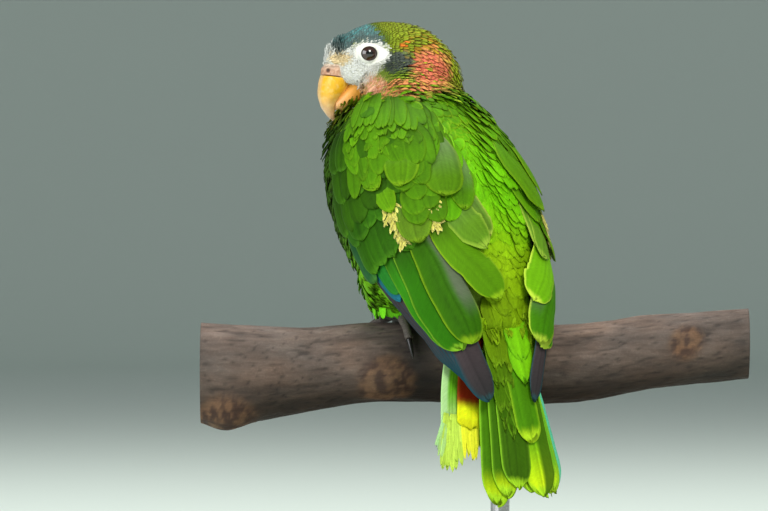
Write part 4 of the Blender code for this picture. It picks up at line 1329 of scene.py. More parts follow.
def mantle_feathers(made, side):
    """Soft feathers over the shoulder, above the large scapulars."""
    first = 2.0 if side > 0 else 1.62
    for row, root in enumerate(np.arange(first, 3.4, 0.2)):
        wide = mix(5.5, 11.0, smooth_step((root - first) / 1.3))
        step = 0.62 * wide
        for own in np.arange(18 + step / 2 * (row % 2), 84, step):
            past_wing = own > wing_top(max(root + 0.6, 2.0), -1) + 5
            if past_wing or under_collar(side, root, own) < 0:
                continue
            at, across = root + rng.normal(0, 0.05), own + rng.normal(0, 1.2)
            low, high = tract_height(side, root, own) - 1.5, tract_height(side, root + 1.0, own)
            tone = np.array(MANTLE) * rng.normal(0.95, 0.08)
            middle = ((at, across), (at + 0.5, across), (at + 1.1, across + rng.normal(0, 2.0)))
            # Toward the back most rims are dark: partly the feathers' dusky edges, partly painted shadow
            # lines under their tips.
            towards_back = smooth_step((own - 50) / 15) if side < 0 else 1.0
            rim, share = (DUSK, 0.45) if rng.random() < 0.6 * towards_back else (FRINGE, 0.12)
            width = wide * rng.normal(1, 0.12)
            high += rng.uniform(-0.1, 0.3)
            # Roots painted darker: partly the feathers' darker bases, partly painted shade under the
            # feathers over them.
            add_wing_vane(made, side, middle, width, low, high, tone, rim, share, lean=rng.normal(0, 0.03),
                          root=0.6 * tone, root_to=0.85, **MANTLE_VANE)


def scapular_tract(made, side):
    """Rows of feathers between the wing and the back, under the large scapulars."""
    for row, root in enumerate(np.arange(3.2, 5.2, 0.34)):
        for own in np.arange(46 + 4.5 * (row % 2), 80, 9.0):
            if own > wing_top(root + 0.5, -1) + 2:
                continue
            at = root + rng.normal(0, 0.05)
            across = own + rng.normal(0, 1.5)
            high = tract_height(side, root, own) + 0.4
            bright = 0.6 * smooth_step((own - 55) / 20)
            tone = mix(0.85 * np.array(MANTLE), MANTLE_BRIGHT, bright) * rng.normal(1, 0.06)
            middle = ((at, across), (at + 0.45, across), (at + 0.95, across + rng.normal(0, 1.5)))
            # Roots painted darker: partly the feathers' darker bases, partly painted shade under the
            # feathers over them.
            add_wing_vane(made, side, middle, rng.normal(13.5, 0.8), high - 1.6, high, tone, FRINGE, 0.12,
                          lean=rng.normal(0, 0.02), root=0.5 * tone, root_to=0.85, **TRACT_VANE)


def covert_rows(made, side):
    """Rows of coverts that lie like shingles from the wing's edge up to the shoulder."""
    brighter = RIGHT_BRIGHTER["coverts"] if side > 0 else 1.0
    for row, (root, tip, first, last, wide, low, high, base) in enumerate(COVERT_ROWS):
        step = wide * 0.75
        for own in np.arange(last + (row % 2) * step / 2, first, step):
            below = under_collar(side, root, own)
            if below < 0:
                continue
            near = mix(0.7, 1.0, smooth_step((own - last + 6) / 22))
            near = near * (mix(0.3, 0.85, smooth_step((root - 2.0) / 1.5)) if side > 0 else 1.0)
            shift, turn = rng.normal(0, 0.06), rng.normal(0, 2.0)
            halfway = (root + tip) / 2 + shift
            middle = ((root + shift, own + 2), (halfway, own + 1), (tip + 1.6 * shift, own - 1 + turn))
            blue = 0.4 * smooth_step((-1 - own) / 6) if row < 2 else 0.0
            tone = mix(np.array(base) * rng.normal(1, 0.10), BLUE_GREEN, blue) * brighter
            tone = tone * (1 + 0.2 * smooth_step((own - 20) / 30))
            # Most rims are dark: painted shadow lines along the tips; the first two rows and some others
            # have a pale fringe.
            rim = (0.14, 0.40, 0.02) if row < 2 or rng.random() < 0.35 else (0.03, 0.09, 0.004)
            width = wide * rng.normal(1.05, 0.1)
            sunk = mix(-1.0, low * near, smooth_step(below / 18))
            # Roots painted darker: partly the feathers' darker bases, partly painted shade under the
            # feathers over them.
            add_wing_vane(made, side, middle, width, sunk, high * near, tone, rim, 0.28,
                          lean=rng.normal(0.01, 0.03), root=0.5 * tone, root_to=0.85, **COVERT_VANE)


def down_tufts(made, side):
    """Downy tufts between the large feathers."""
    for station, own, spread, height in DOWN:
        for _ in range(DOWN_TUFTS):
            at, across = station + rng.normal(-0.05, 0.10), own + rng.normal(0, 1.2 * spread)
            turn = rng.normal(0, 4.0)
            middle = ((at - 0.10, across), (at, across + 0.3 * turn), (at + 0.13, across + 0.7 * turn))
            tone = np.array(DOWN_YELLOW) * rng.uniform(0.75, 1.25)
            width = rng.uniform(1.0, 2.0)
            high = height + rng.uniform(-0.2, 0.7)
            add_wing_vane(made, side, middle, width, height - 0.6, high, tone, DOWN_TIP, 0.4, **DOWN_VANE)


def make_primaries(side_name, side, look):
    made = Plumage()
    slim = RIGHT_PRIMARY_WIDTH if side > 0 else 1.0
    for k in np.linspace(0, 1, PRIMARY_COUNT):
        middle = [mix(a, b, k) for a, b in (PRIMARY_ROOTS, PRIMARY_MIDDLES, PRIMARY_TIPS)]
        middle.insert(2, mix(middle[1], middle[2], 0.55) + (0, -3.0))
        width, low, high = slim * mix(8.0, 15.0, k), 0.1 + 1.0 * k, 0.1 + 1.9 * k
        add_wing_vane(made, side, middle, width, low, high, PURPLE_SLATE, PRIMARY_RIM, 0.6, **PRIMARY_VANE)
    made.make(f"primaries_{side_name}", "plumage_flight", look, f"wing_{side_name}_primaries")


def make_secondaries(side_name, side, look):
    made = Plumage()
    for middle, width, low, high, base, edge, share, inner in reversed(TERTIALS):
        if side > 0:
            middle = np.array(middle) + (0, 9.0)
            edge, base = RIGHT_TERTIAL_RIM, RIGHT_BRIGHTER["tertials"] * np.array(base)
        add_wing_vane(made, side, middle, width, low, high, base, edge, share, inner=inner, **TERTIAL_VANE)
    made.make(f"secondaries_{side_name}", "plumage_green", look, f"wing_{side_name}_secondaries")


def make_coverts(side_name, side, look):
    made = Plumage()
    covert_rows(made, side)
    scapular_tract(made, side)
    mantle_feathers(made, side)
    # The right's scapulars are painted brighter, as painted light; the left's roots carry the painted sheen.
    brighter, root = (RIGHT_BRIGHTER["scapulars"], RIGHT_ROOT) if side > 0 else (1.0, PAINTED_SHEEN)
    for middle, width, low, high, base, edge, share in SCAPULARS:
        base = brighter * np.array(base)
        add_wing_vane(made, side, middle, width, low, high, base, edge, share, root=root, root_to=0.75,
                      **SCAPULAR_VANE)
    down_tufts(made, side)
    made.make(f"coverts_{side_name}", "plumage_green", look, f"wing_{side_name}_coverts")


# ---------------------------------------------------------------- tail

TAIL_TIP = (0.64, 0.90, 0.01)
TAIL_GREEN = (0.065, 0.21, 0.003)
TAIL_OLIVE = (0.045, 0.13, 0.003)
TAIL_RIM = (0.34, 0.75, 0.03)
# Middle line as sideways and down from the tail's root, height at root and tip, width, colour, outer web,
# where the pale tip starts, and its outer side
TAIL_FAN = (
    # The uppermost on the left is dark olive: partly its own colour, partly painted shadow of the long
    # covert that lies over it.
    (((-3.5, -2), (-8.0, 73.4)), 4.6, 4.9, 16.5, TAIL_OLIVE, None, 0.93, -1),
    (((-6.0, -2), (-14.0, 76.6)), 3.2, 3.7, 15.5, (0.05, 0.16, 0.003), None, 0.84, -1),
    (((-8.5, -2), (-19.5, 80.3)), 1.8, 2.4, 16.5, TAIL_GREEN, None, 0.78, -1),
    (((-6.5, -2), (-16.0, 78.0)), 0.6, 1.0, 15.0, TAIL_GREEN, None, 0.8, -1),
    (((0.5, -2), (6.0, 77.0)), 4.0, 4.4, 17.0, (0.17, 0.48, 0.008), TAIL_OLIVE, 0.62, 1),
    (((-0.5, -2), (1.0, 74.5)), 2.2, 2.5, 15.0, TAIL_OLIVE, None, 0.9, 1),
    (((2.0, -2), (9.3, 75.5)), 2.8, 3.0, 14.0, (0.12, 0.36, 0.006), None, 0.8, 1),
    (((3.5, -2), (12.0, 75.0)), 1.6, 1.8, 14.0, (0.12, 0.4, 0.02), None, 0.8, 1),
    (((4.5, -2), (14.0, 74.4)), 0.4, 0.6, 13.0, (0.13, 0.42, 0.03), None, 0.78, 1),
    (((6.0, -2), (16.6, 73.6)), -0.8, -0.6, 13.0, (0.14, 0.48, 0.03), (0.12, 0.62, 0.42), 0.72, 1),
)
# Lobes of barbs that hang apart at the two worn tips: root, tip, width and colour
WORN_YELLOW = (0.95, 1.0, 0.04)
WORN_PALE = (0.60, 0.86, 0.10)
WORN_LOBES = (
    ((-37.0, 36), (-45.5, 53), 2.6, (0.45, 0.78, 0.3)),
    ((-37.5, 38), (-44.5, 58), 3.2, (0.5, 0.8, 0.25)),
    ((-36.0, 38), (-43.0, 62), 4.5, WORN_PALE),
    ((-35.0, 38), (-40.5, 64.6), 7.0, WORN_PALE),
    ((-33.5, 38), (-37.5, 64.0), 6.5, WORN_PALE),
    ((-32.0, 38), (-34.5, 60), 4.0, WORN_PALE),
    ((-28.5, 36), (-31.0, 58.5), 4.0, WORN_YELLOW),
    ((-27.0, 36), (-29.0, 52), 3.0, WORN_YELLOW),
    ((-23.5, 36), (-26.8, 59.5), 4.6, WORN_YELLOW),
    ((-21.5, 36), (-24.0, 54), 4.0, WORN_YELLOW),
    ((-20.0, 36), (-21.5, 47), 3.0, WORN_YELLOW),
)
# Rows of upper coverts: first and last place across, tip's place down, length and width
UPPER_COVERTS = ((-11, 9, 36, 42, 9), (-11, 10, 27, 38, 10), (-12, 11, 18, 34, 11), (-12, 12, 9, 30, 11))
RUMP_FEATHERS = 46
LOBE_VANE = {"rows": 14, "columns": 9, "blunt": 0.45, "crown": 0.0, "thickness": 0.12, "fray": 0.02,
             "quill": 0.7, "cells": 100}
RED_VANE = {"tip": (0.85, 0.95, 0.012), "tip_from": 0.76, "tip_to": 0.86, "blunt": 0.95, "rows": 40}
PALE_VANE = {"rim_from": 0.75, "outer": (0.5, 0.8, 0.35), "outer_from": 0.3, "tip": (0.6, 0.85, 0.3),
             "tip_from": 0.72, "blunt": 0.95, "rows": 30}
UPPER_VANE = {"rows": 18, "columns": 15, "blunt": 0.4, "fray": 0.05, "crown": 0.02, "thickness": 0.15,
              "quill": 0.35, "cells": 49}
RUMP_VANE = {"rows": 12, "columns": 7, "blunt": 0.3, "fray": 0.05, "thickness": 0.15, "quill": 0.35,
             "cells": 100}
LONG_VANE = {"rim_from": 0.8, "tip": (0.55, 0.85, 0.02), "tip_from": 0.86, "cells": 49, "fray": 0.02}
BROAD_VANE = {"blunt": 0.5, "cells": 49, "crown": 0.12, "fray": 0.03, "rows": 20, "columns": 13}
UNDER_VANE = {"rows": 16, "columns": 9, "blunt": 0.5, "crown": -0.08, "fray": 0.05, "thickness": 0.25,
              "quill": 0.35}


def tail_points(flat, height):
    """Points on the tail from its root: places sideways and down it, and height out of its upper face."""
    pitch = math.radians(TAIL_PITCH)
    right = np.array([1.0, 0.0, 0.0])
    down = np.array([0.0, -math.cos(pitch), -math.sin(pitch)])
    out = np.array([0.0, -math.sin(pitch), math.cos(pitch)])
    return from_bird(TAIL_ROOT + flat[..., :1] * right + flat[..., 1:] * down + height[..., None] * out)


def tail_vane(made, side, middle, low, high, width, base, edge, share, rows=34, columns=17, blunt=0.84,
              crown=0.05, thickness=0.35, fray=0.012, quill=0.4, cells=25, **more):
    """One feather of the tail, from its middle line, heights, width and colours."""
    t, c = along_vane(rows), np.linspace(-1, 1, columns)
    line = read_rows(middle, t * (len(middle) - 1))
    ahead = np.gradient(line, axis=0)
    length = np.linalg.norm(ahead, axis=1).sum()
    ahead = unit(ahead)
    across = side * np.stack([ahead[:, 1], -ahead[:, 0]], 1)
    half = width / 2 * vane_width(t, blunt, quill)
    x = half[:, None] * c
    x = x * (1 - 2 * fray * rng.random(x.shape) * np.abs(c) ** 4)
    teeth = length * teeth_at_tip(t, columns, fray)
    flat = line[:, None] + x[..., None] * across[:, None] + teeth[..., None] * ahead[:, None]
    rise = mix(low, high, t)[:, None] + crown * half[:, None] * (1 - np.abs(c) ** 1.5)
    stain = vane_stain(rows, columns, base, edge, share, **more)
    along = length * t[:, None] + 0 * x
    grids = (tail_points(flat, rise + thickness), tail_points(flat, rise))
    add_large(made, *grids, x, along, stain, cells, side > 0)


def worn_tips(made):
    """Strands of barbs at the ends of the two worn feathers."""
    for root, tip, width, colour in WORN_LOBES:
        for strand in range(4):
            shift = (strand - 1.5) * width / 4
            sag = rng.normal(0, 0.3)
            end = (tip[0] + 1.3 * shift + sag, tip[1] - abs(shift) - rng.uniform(0, 1.6))
            start = (root[0] + shift, root[1] + rng.uniform(-3, 1))
            middle = (start, ((start[0] + end[0]) / 2 + rng.normal(0, 0.2), (start[1] + end[1]) / 2), end)
            tone = np.array(colour) * rng.normal(1, 0.06)
            low, high = -0.9 - 0.05 * abs(root[0] + 20), -1.2 + rng.uniform(-0.6, 0.3)
            tail_vane(made, -1, middle, low, high, max(1.8, 0.6 * width), tone, tone, 0.0, **LOBE_VANE)


def tail_upper_coverts(made):
    for row, (first, last, tip, length, wide) in enumerate(UPPER_COVERTS):
        for across in np.linspace(first, last, 7) + rng.normal(0, 0.6, 7):
            end = tip + 8 * smooth_step((2 - across) / 8) - 6 * smooth_step((across - 2) / 4)
            end = end + rng.normal(0, 2.0)
            bright = smooth_step((across + 2) / 7) * rng.uniform(0.6, 1)
            tone = mix((0.09, 0.27, 0.003), (0.22, 0.56, 0.005), bright)
            tone = mix(0.6 * tone, 0.6 * np.array(RUMP), 0.45 * row / 3 + 0.3 * (row == 3))
            middle = ((0.8 * across, end - length), (across, end))
            high = 5.7 + 0.3 * row
            tail_vane(made, 1, middle, 4.6, high, wide, tone, (0.3, 0.6, 0.02), 0.25, **UPPER_VANE)
    for _ in range(RUMP_FEATHERS):
        across, end = rng.uniform(-13, 13), rng.uniform(-9, 5)
        tone = np.array(RUMP) * rng.uniform(0.45, 0.85)
        middle = ((0.9 * across, end - 20), (across, end))
        high, wide = rng.uniform(6.4, 8.2), rng.uniform(4, 8)
        tail_vane(made, 1, middle, 3.0, high, wide, tone, (0.5, 0.8, 0.02), 0.3, **RUMP_VANE)
    middle = ((-1.0, -4), (0.8, 25), (2.2, 50.6))
    tail_vane(made, 1, middle, 5.4, 6.3, 14.0, (0.07, 0.24, 0.003), (0.4, 0.7, 0.02), 0.6, **LONG_VANE)
    for end, across, wide in ((23.0, 3.6, 14.0), (12.5, 3.2, 15.0)):
        middle = ((2.6, end - 26), (across, end))
        tail_vane(made, 1, middle, 5.6, 7.4, wide, (0.20, 0.58, 0.005), (0.12, 0.4, 0.01), 0.4, **BROAD_VANE)


def tail_under_coverts(made):
    for row in range(4):
        for across in (np.arange(5) - 2) * 4.2 + rng.normal(0, 0.6, 5):
            end = 30 - 7 * row + rng.normal(0, 1.2)
            middle = ((0.8 * across, end - 22), (across, end))
            low, tone, rim = -6.4 - 0.3 * row, (0.42, 0.62, 0.03), (0.5, 0.75, 0.05)
            tail_vane(made, 1, middle, -5.8, low, 12.0, tone, rim, 0.4, **UNDER_VANE)


def tail_fan(made):
    for middle, low, high, width, base, outer, tip_from, side in TAIL_FAN:
        tail_vane(made, side, middle, low, high, width, base, TAIL_RIM, 0.7, rim_from=0.84, outer=outer,
                  tip=TAIL_TIP, tip_from=tip_from)
    # The two on the left that hang apart, with worn tips
    middle = ((-11.0, -4), (-18.0, 6), (-22.6, 24.5), (-26.0, 43.0))
    tail_vane(made, -1, middle, -0.6, -0.8, 15.0, (0.20, 0.018, 0.003), (0.3, 0.1, 0.01), 0.3, **RED_VANE)
    middle = ((-13.0, -4), (-24.0, 4), (-31.0, 20.0), (-36.0, 46.0))
    tail_vane(made, -1, middle, -2.4, -2.6, 12.0, (0.15, 0.50, 0.015), (0.3, 0.75, 0.10), 0.7, **PALE_VANE)


def make_tail(look):
    vanes = [f"tail_{side_name}_{feather}" for side_name in SIDES for feather in TAIL_FEATHERS]
    for fill, name, slot, nodes in (
        (tail_fan, "tail_vanes", "plumage_tail", vanes),
        (worn_tips, "tail_worn_tips", "plumage_tail", []),
        (tail_upper_coverts, "tail_upper_coverts", "plumage_green", ["tail_coverts_upper"]),
        (tail_under_coverts, "tail_under_coverts", "plumage_green", ["tail_coverts_under"]),
    ):
        made = Plumage()
        fill(made)
        made.make(name, slot, look, *nodes)


# ---------------------------------------------------------------- eyes, lids, cere and bill

EYE_OPENING = 3.7
EYE_FORWARD = EYE[0] + SEEN_SHIFT * EYE[1]
IRIS = (0.045, 0.014, 0.006)
EYE_SIDES = 64
LID_RINGS, LID_SIDES = 30, 96


def clouds(points, depth, octaves):
    """Cloudy numbers at places, for blotches and roughness."""
    return np.array([[noise.fractal(Vector(p), depth, 2.0, octaves) for p in ring] for ring in points])


def beside_head(forward, up, side):
    """How far out the head's skin lies at places given forward and up, on its left (-1) or right (1)."""
    way = from_head((0, side, 0)) - from_head((0, 0, 0))
    level = np.array([0, 0, PERCH_HEIGHT])
    reach = []
    for f, u in zip(np.ravel(forward), np.ravel(up)):
        start = (from_head((f, -side * 30.0, u)) + level) * MM
        hit = skin_tree.ray_cast(Vector(start), Vector(way))
        reach.append(30.0 - hit[3] / MM if hit[0] is not None else 0.0)
    return np.array(reach).reshape(np.shape(forward))


def make_eye(side_name, side, look):
    centre = np.array([EYE_FORWARD, -side * EYE[1], EYE[2]])
    turn = full_turn(EYE_SIDES)
    rings, colours = [], []
    for polar in np.radians(np.concatenate([np.linspace(1, 60, 48), np.linspace(65, 178, 24)])):
        cornea = 1 + 0.05 * math.exp(-((math.degrees(polar) / 30) ** 2))
        out = math.sin(polar)
        ring = np.stack([out * np.cos(turn), -side * np.cos(polar) + 0 * turn, out * np.sin(turn)], 1)
        rings.append(from_head(centre + EYE_RADIUS * cornea * ring))
        iris = mix((0.004, 0.003, 0.003), IRIS, smooth_step((EYE_RADIUS * out - 1.55) / 0.15))
        iris = mix(iris, (0.02, 0.012, 0.008), smooth_step((EYE_RADIUS * out - 3.0) / 0.5))
        colours.append(np.tile(iris, (EYE_SIDES, 1)))
    eye = closed_body(f"eyeball_{side_name}", *loft(rings))
    finished(eye, np.concatenate(colours), look, "eye_dark", f"eye_{side_name}")


def make_lids(side_name, side, look):
    """Bare skin from the edge of the eye's opening out over the cheek, with folds round the eye."""
    turn = full_turn(LID_SIDES)
    cos, sin = np.cos(turn), np.sin(turn)
    outer_f = np.where(cos > 0, 6.8, 10.0) * cos
    outer_u = np.where(sin > 0, 5.4, 6.0) * sin * (1 - 0.35 * smooth_step(-cos))
    inner_f, inner_u = 1.04 * EYE_OPENING * cos, 0.94 * EYE_OPENING * sin
    r = np.linspace(0, 1, LID_RINGS)[:, None]
    f = EYE_FORWARD + mix(inner_f, outer_f, r**1.15)
    u = EYE[2] + mix(inner_u, outer_u, r**1.15)
    skin_level = beside_head(f, u, side)
    away = np.hypot(f - EYE_FORWARD, u - EYE[2])
    over_ball = EYE[1] + np.sqrt(np.clip((EYE_RADIUS + 0.28) ** 2 - away**2, 0.0, None))
    height = np.maximum(np.where(away < EYE_RADIUS, over_ball, 0), skin_level + 0.35)
    height = height + 0.22 * np.sin(math.pi * np.clip(r / 0.14, 0, 1)) ** 2
    for place, high, wide in ((0.27, 0.16, 0.035), (0.42, 0.13, 0.04), (0.6, 0.12, 0.05)):
        wave = place + 0.02 * np.sin(3 * turn + 9 * place) + 0.012 * np.sin(7 * turn)
        fold, furrow = (np.exp(-(((r - wave - shift) / wide) ** 2)) for shift in (0, 0.06))
        height = height + high * fold - 0.1 * furrow
    height = height - 0.9 * smooth_step((r - 0.86) / 0.14)
    grain = [noise.noise(Vector((1.1 * a, 1.1 * b, 3.0 * side))) for a, b in zip(f.flat, u.flat)]
    height = height + 0.10 * np.reshape(grain, f.shape)
    # Both edges turn in under the skin.
    height = np.concatenate([height[:1] - 1.2, height, height[-1:] - 1.5])
    f, u, r = (np.concatenate([a[:1], a, a[-1:]]) for a in (f, u, r))
    grid = from_head(np.stack([f, -side * height, u], -1))
    lids = new_object(f"lids_{side_name}", grid.reshape(-1, 3), grid_faces(*f.shape, ring=True))
    rows = r[:, 0]
    tone = np.tile(WHITE, (*f.shape, 1))
    dark = np.exp(-((rows / 0.045) ** 2))[:, None, None]
    tone = mix(tone, (0.12, 0.10, 0.09), 0.9 * dark)
    pink = (0.5 + 0.5 * np.sin(5 * turn + 12 * rows[:, None]))[..., None] * 0.12
    tone = mix(tone, (0.8, 0.6, 0.5), pink)
    # A painted shadow line along the outer rim of the lower lid, where the skin folds under the eye.
    painted_crease_shadow = np.exp(-(((r - 0.9) / 0.05) ** 2)) * smooth_step(-1.6 * sin + 0.2) * smooth_step(cos + 0.9)
    tone = mix(tone, (0.22, 0.15, 0.11), 0.65 * painted_crease_shadow[..., None])
    face_outward(lids)
    finished(lids, tone.reshape(-1, 3), look, "cere_skin")


def face_outward(obj):
    """Turns an open sheet's faces away from the head."""
    mesh = obj.data
    mesh.update()
    centre = from_head((EYE[0], 0, EYE[2])) * MM + (0, 0, PERCH_HEIGHT * MM)
    lean = sum((Vector(centre) - f.center).dot(f.normal) * f.area for f in mesh.polygons)
    if lean > 0:
        mesh.flip_normals()


def make_upper_bill(look):
    rings, turn = bill_rings(BILL_UPPER, 60, 72, 1.25)
    k = np.linspace(0, 1, 60)[:, None]
    # Growth lines across it
    grow = 0.07 * np.sin(26 * k + 2 * np.sin(3 * turn)) * np.sin(math.pi * k)
    rings = swollen(rings, grow - 0.05)
    tone = mix((1.0, 0.53, 0.02), (0.86, 0.52, 0.24), smooth_step((k - 0.25) / 0.4)[..., None])
    tone = mix(tone, (0.66, 0.38, 0.22), smooth_step((k - 0.6) / 0.35)[..., None]) + 0 * rings
    # Paler along the ridge and along the cutting edge, which has a darker line above it
    across = np.cos(turn)[None, :, None]
    tone = mix(tone, (0.80, 0.56, 0.38), 0.55 * smooth_step((across - 0.75) / 0.2))
    tone = mix(tone, (0.95, 0.66, 0.42), 0.6 * smooth_step((-across - 0.72) / 0.2))
    line = np.exp(-(((across + 0.66) / 0.07) ** 2)) * smooth_step(k * 2)[..., None]
    tone = mix(tone, (0.45, 0.22, 0.08), 0.5 * line)
    blotch = clouds(rings * 0.5, 0.8, 3)[..., None]
    tone = mix(tone, (1.0, 0.76, 0.30), 0.35 * smooth_step((blotch - 0.15) / 0.3))
    upper = closed_body("bill_upper_horn", *loft(from_head(rings)))
    finished(upper, tone.reshape(-1, 3), look, "bill_horn", "bill_upper")


def make_lower_bill(look):
    """It closes up to the upper one's cutting edge."""
    rings = bill_rings(np.array(BILL_LOWER) + (2.6, 0.4, 0.4, 0, 0), 40, 64, 1.0)[0]
    rings = np.minimum(rings, (31.4, 99, 99)) * (1, 0.97, 1)
    k = np.linspace(0, 1, 40)[:, None]
    tone = mix((0.98, 0.42, 0.05), (0.85, 0.45, 0.18), smooth_step(k / 0.9)[..., None]) + 0 * rings
    lower = closed_body("bill_lower_horn", *loft(from_head(rings)))
    finished(lower, tone.reshape(-1, 3), look, "bill_horn", "bill_lower")


def swollen(rings, height):
    """Rings moved out from their middles."""
    return rings + unit(rings - rings.mean(1, keepdims=True)) * height[..., None]


def from_nostril(points, side):
    hole = np.array([NOSTRIL[0], -side * NOSTRIL[1], NOSTRIL[2]])
    return np.linalg.norm((points - hole) * (1, 0.6, 1), axis=-1)


def make_cere(look):
    rings = bill_rings(CERE, 60, 96, 1.0)[0][:25]
    for side in SIDES.values():
        far = from_nostril(rings, side)
        pit = 1.3 * np.exp(-(far**2)) - 0.25 * np.exp(-(((far - 1.8) / 0.6) ** 2))
        rings = swollen(rings, -pit)
    rough = clouds(rings * 0.8, 0.9, 3)
    rings = swollen(rings, 0.22 * rough - 0.1)
    far = np.min([from_nostril(rings, side) for side in SIDES.values()], 0)
    flesh = mix((0.58, 0.33, 0.22), (0.74, 0.52, 0.38), smooth_step(rough + 0.5)[..., None])
    # The nostril is painted near black: painted shade inside its pit.
    tone = mix((0.05, 0.015, 0.012), flesh, smooth_step((far - 0.6) / 0.8)[..., None])
    ruddy = smooth_step(np.linspace(1.4, 0, 25))[:, None, None]
    tone = mix(tone, tone * (0.85, 0.6, 0.45), 0.5 * ruddy)
    # It sinks under the feathers behind and above, and is paler there.
    forward, _, up = np.moveaxis(rings, -1, 0)
    behind = smooth_step((31.0 - forward) / 2.5)
    rings = swollen(rings, -0.8 * np.maximum(behind, smooth_step((up + 2.6) / 2.0)))
    beyond = np.maximum(behind, smooth_step((up + 2.8) / 2.0)) * smooth_step((far - 1.2) / 0.8)
    tone = mix(tone, (0.86, 0.72, 0.56), 0.7 * beyond[..., None])
    # A painted shadow line along the crease across the cere's side, below the lore.
    painted_crease_shadow = np.exp(-(((up + 1.6 + 0.5 * rough) / 0.5) ** 2)) * smooth_step((far - 1.4) / 0.6)
    tone = mix(tone, (0.30, 0.18, 0.12), 0.75 * painted_crease_shadow[..., None])
    cere = closed_body("cere_skin_piece", *loft(from_head(rings)))
    finished(cere, tone.reshape(-1, 3), look, "cere_skin", "cere")


# ---------------------------------------------------------------- feet and claws


TOE_RINGS, CLAW_RINGS = 60, 24


def toe_path(foot_x, heading, length, lift, first=0.0, count=TOE_RINGS):
    """A toe's middle line over the perch."""
    turn = math.radians(heading)
    arc = np.linspace(first, length, count)
    points = []
    for place, way in zip(foot_x - arc * math.sin(turn), arc * math.cos(turn)):
        centre, radius = perch_at(place)
        reach = radius + lift
        y, z = centre[1] + reach * math.sin(way / reach), centre[2] + reach * math.cos(way / reach)
        points.append((place, y, z))
    return np.array(points)


def make_feet():
    """Bare feet on the perch, with their claws."""
    skin_look = foot_material()
    claw_look = horn_material("claw", 0.3, 0.0001)
    k = np.linspace(0, 1, TOE_RINGS)
    for name, foot_x, _ in LEGS:
        centre, radius = perch_at(foot_x)
        ankle = np.array([foot_x, 0.0, centre[2] + radius + TOE_CLEARANCE + 2.4])
        leg = read_rows([ankle, knee_place(name, foot_x) + (0, 0, 2)], np.linspace(0, 1, 12))
        shapes = [tube(leg, np.full(12, 2.9), 28)]
        claws = []
        for toe, splay, length, thick in TOES:
            heading = FOOT_TURN - SIDES[name] * splay
            path = toe_path(foot_x, heading, length, thick + TOE_CLEARANCE)
            pads = 0.12 * np.abs(np.sin(k * length * 0.9)) + 0.12 * np.cos(k * length * 0.55)
            shapes.append(tube(path, np.minimum(mix(thick, thick * 0.72, k) - 0.1 + pads, thick + 0.05), 24))
            lift = CLAW_RADIUS + TOE_CLEARANCE + 0.6
            path = toe_path(foot_x, heading, length + CLAW_LENGTH, lift, length - 0.6, CLAW_RINGS)
            claws.append(tube(path, CLAW_RADIUS * np.sqrt(np.linspace(1, 0.02, CLAW_RINGS)), 20))
        foot = closed_body(f"foot_{name}_skin", *joined(shapes))
        remeshed(foot, 0.4, 6)
        # The feet are painted dark grey, darker than their own pinkish grey: painted shade, as they sit in
        # shadow under the wing. The claws are near black.
        finished(foot, (0.13, 0.105, 0.09), skin_look, "foot_skin", f"foot_{name}")
        nails = closed_body(f"claws_{name}", *joined(claws))
        nodes = [f"claw_{name}_{toe[0]}" for toe in TOES]
        finished(nails, (0.018, 0.016, 0.015), claw_look, "claw_horn", *nodes)


# ---------------------------------------------------------------- perch and stand


PERCH_RINGS, PERCH_SIDES = 260, 112
SAWN_RINGS = 26


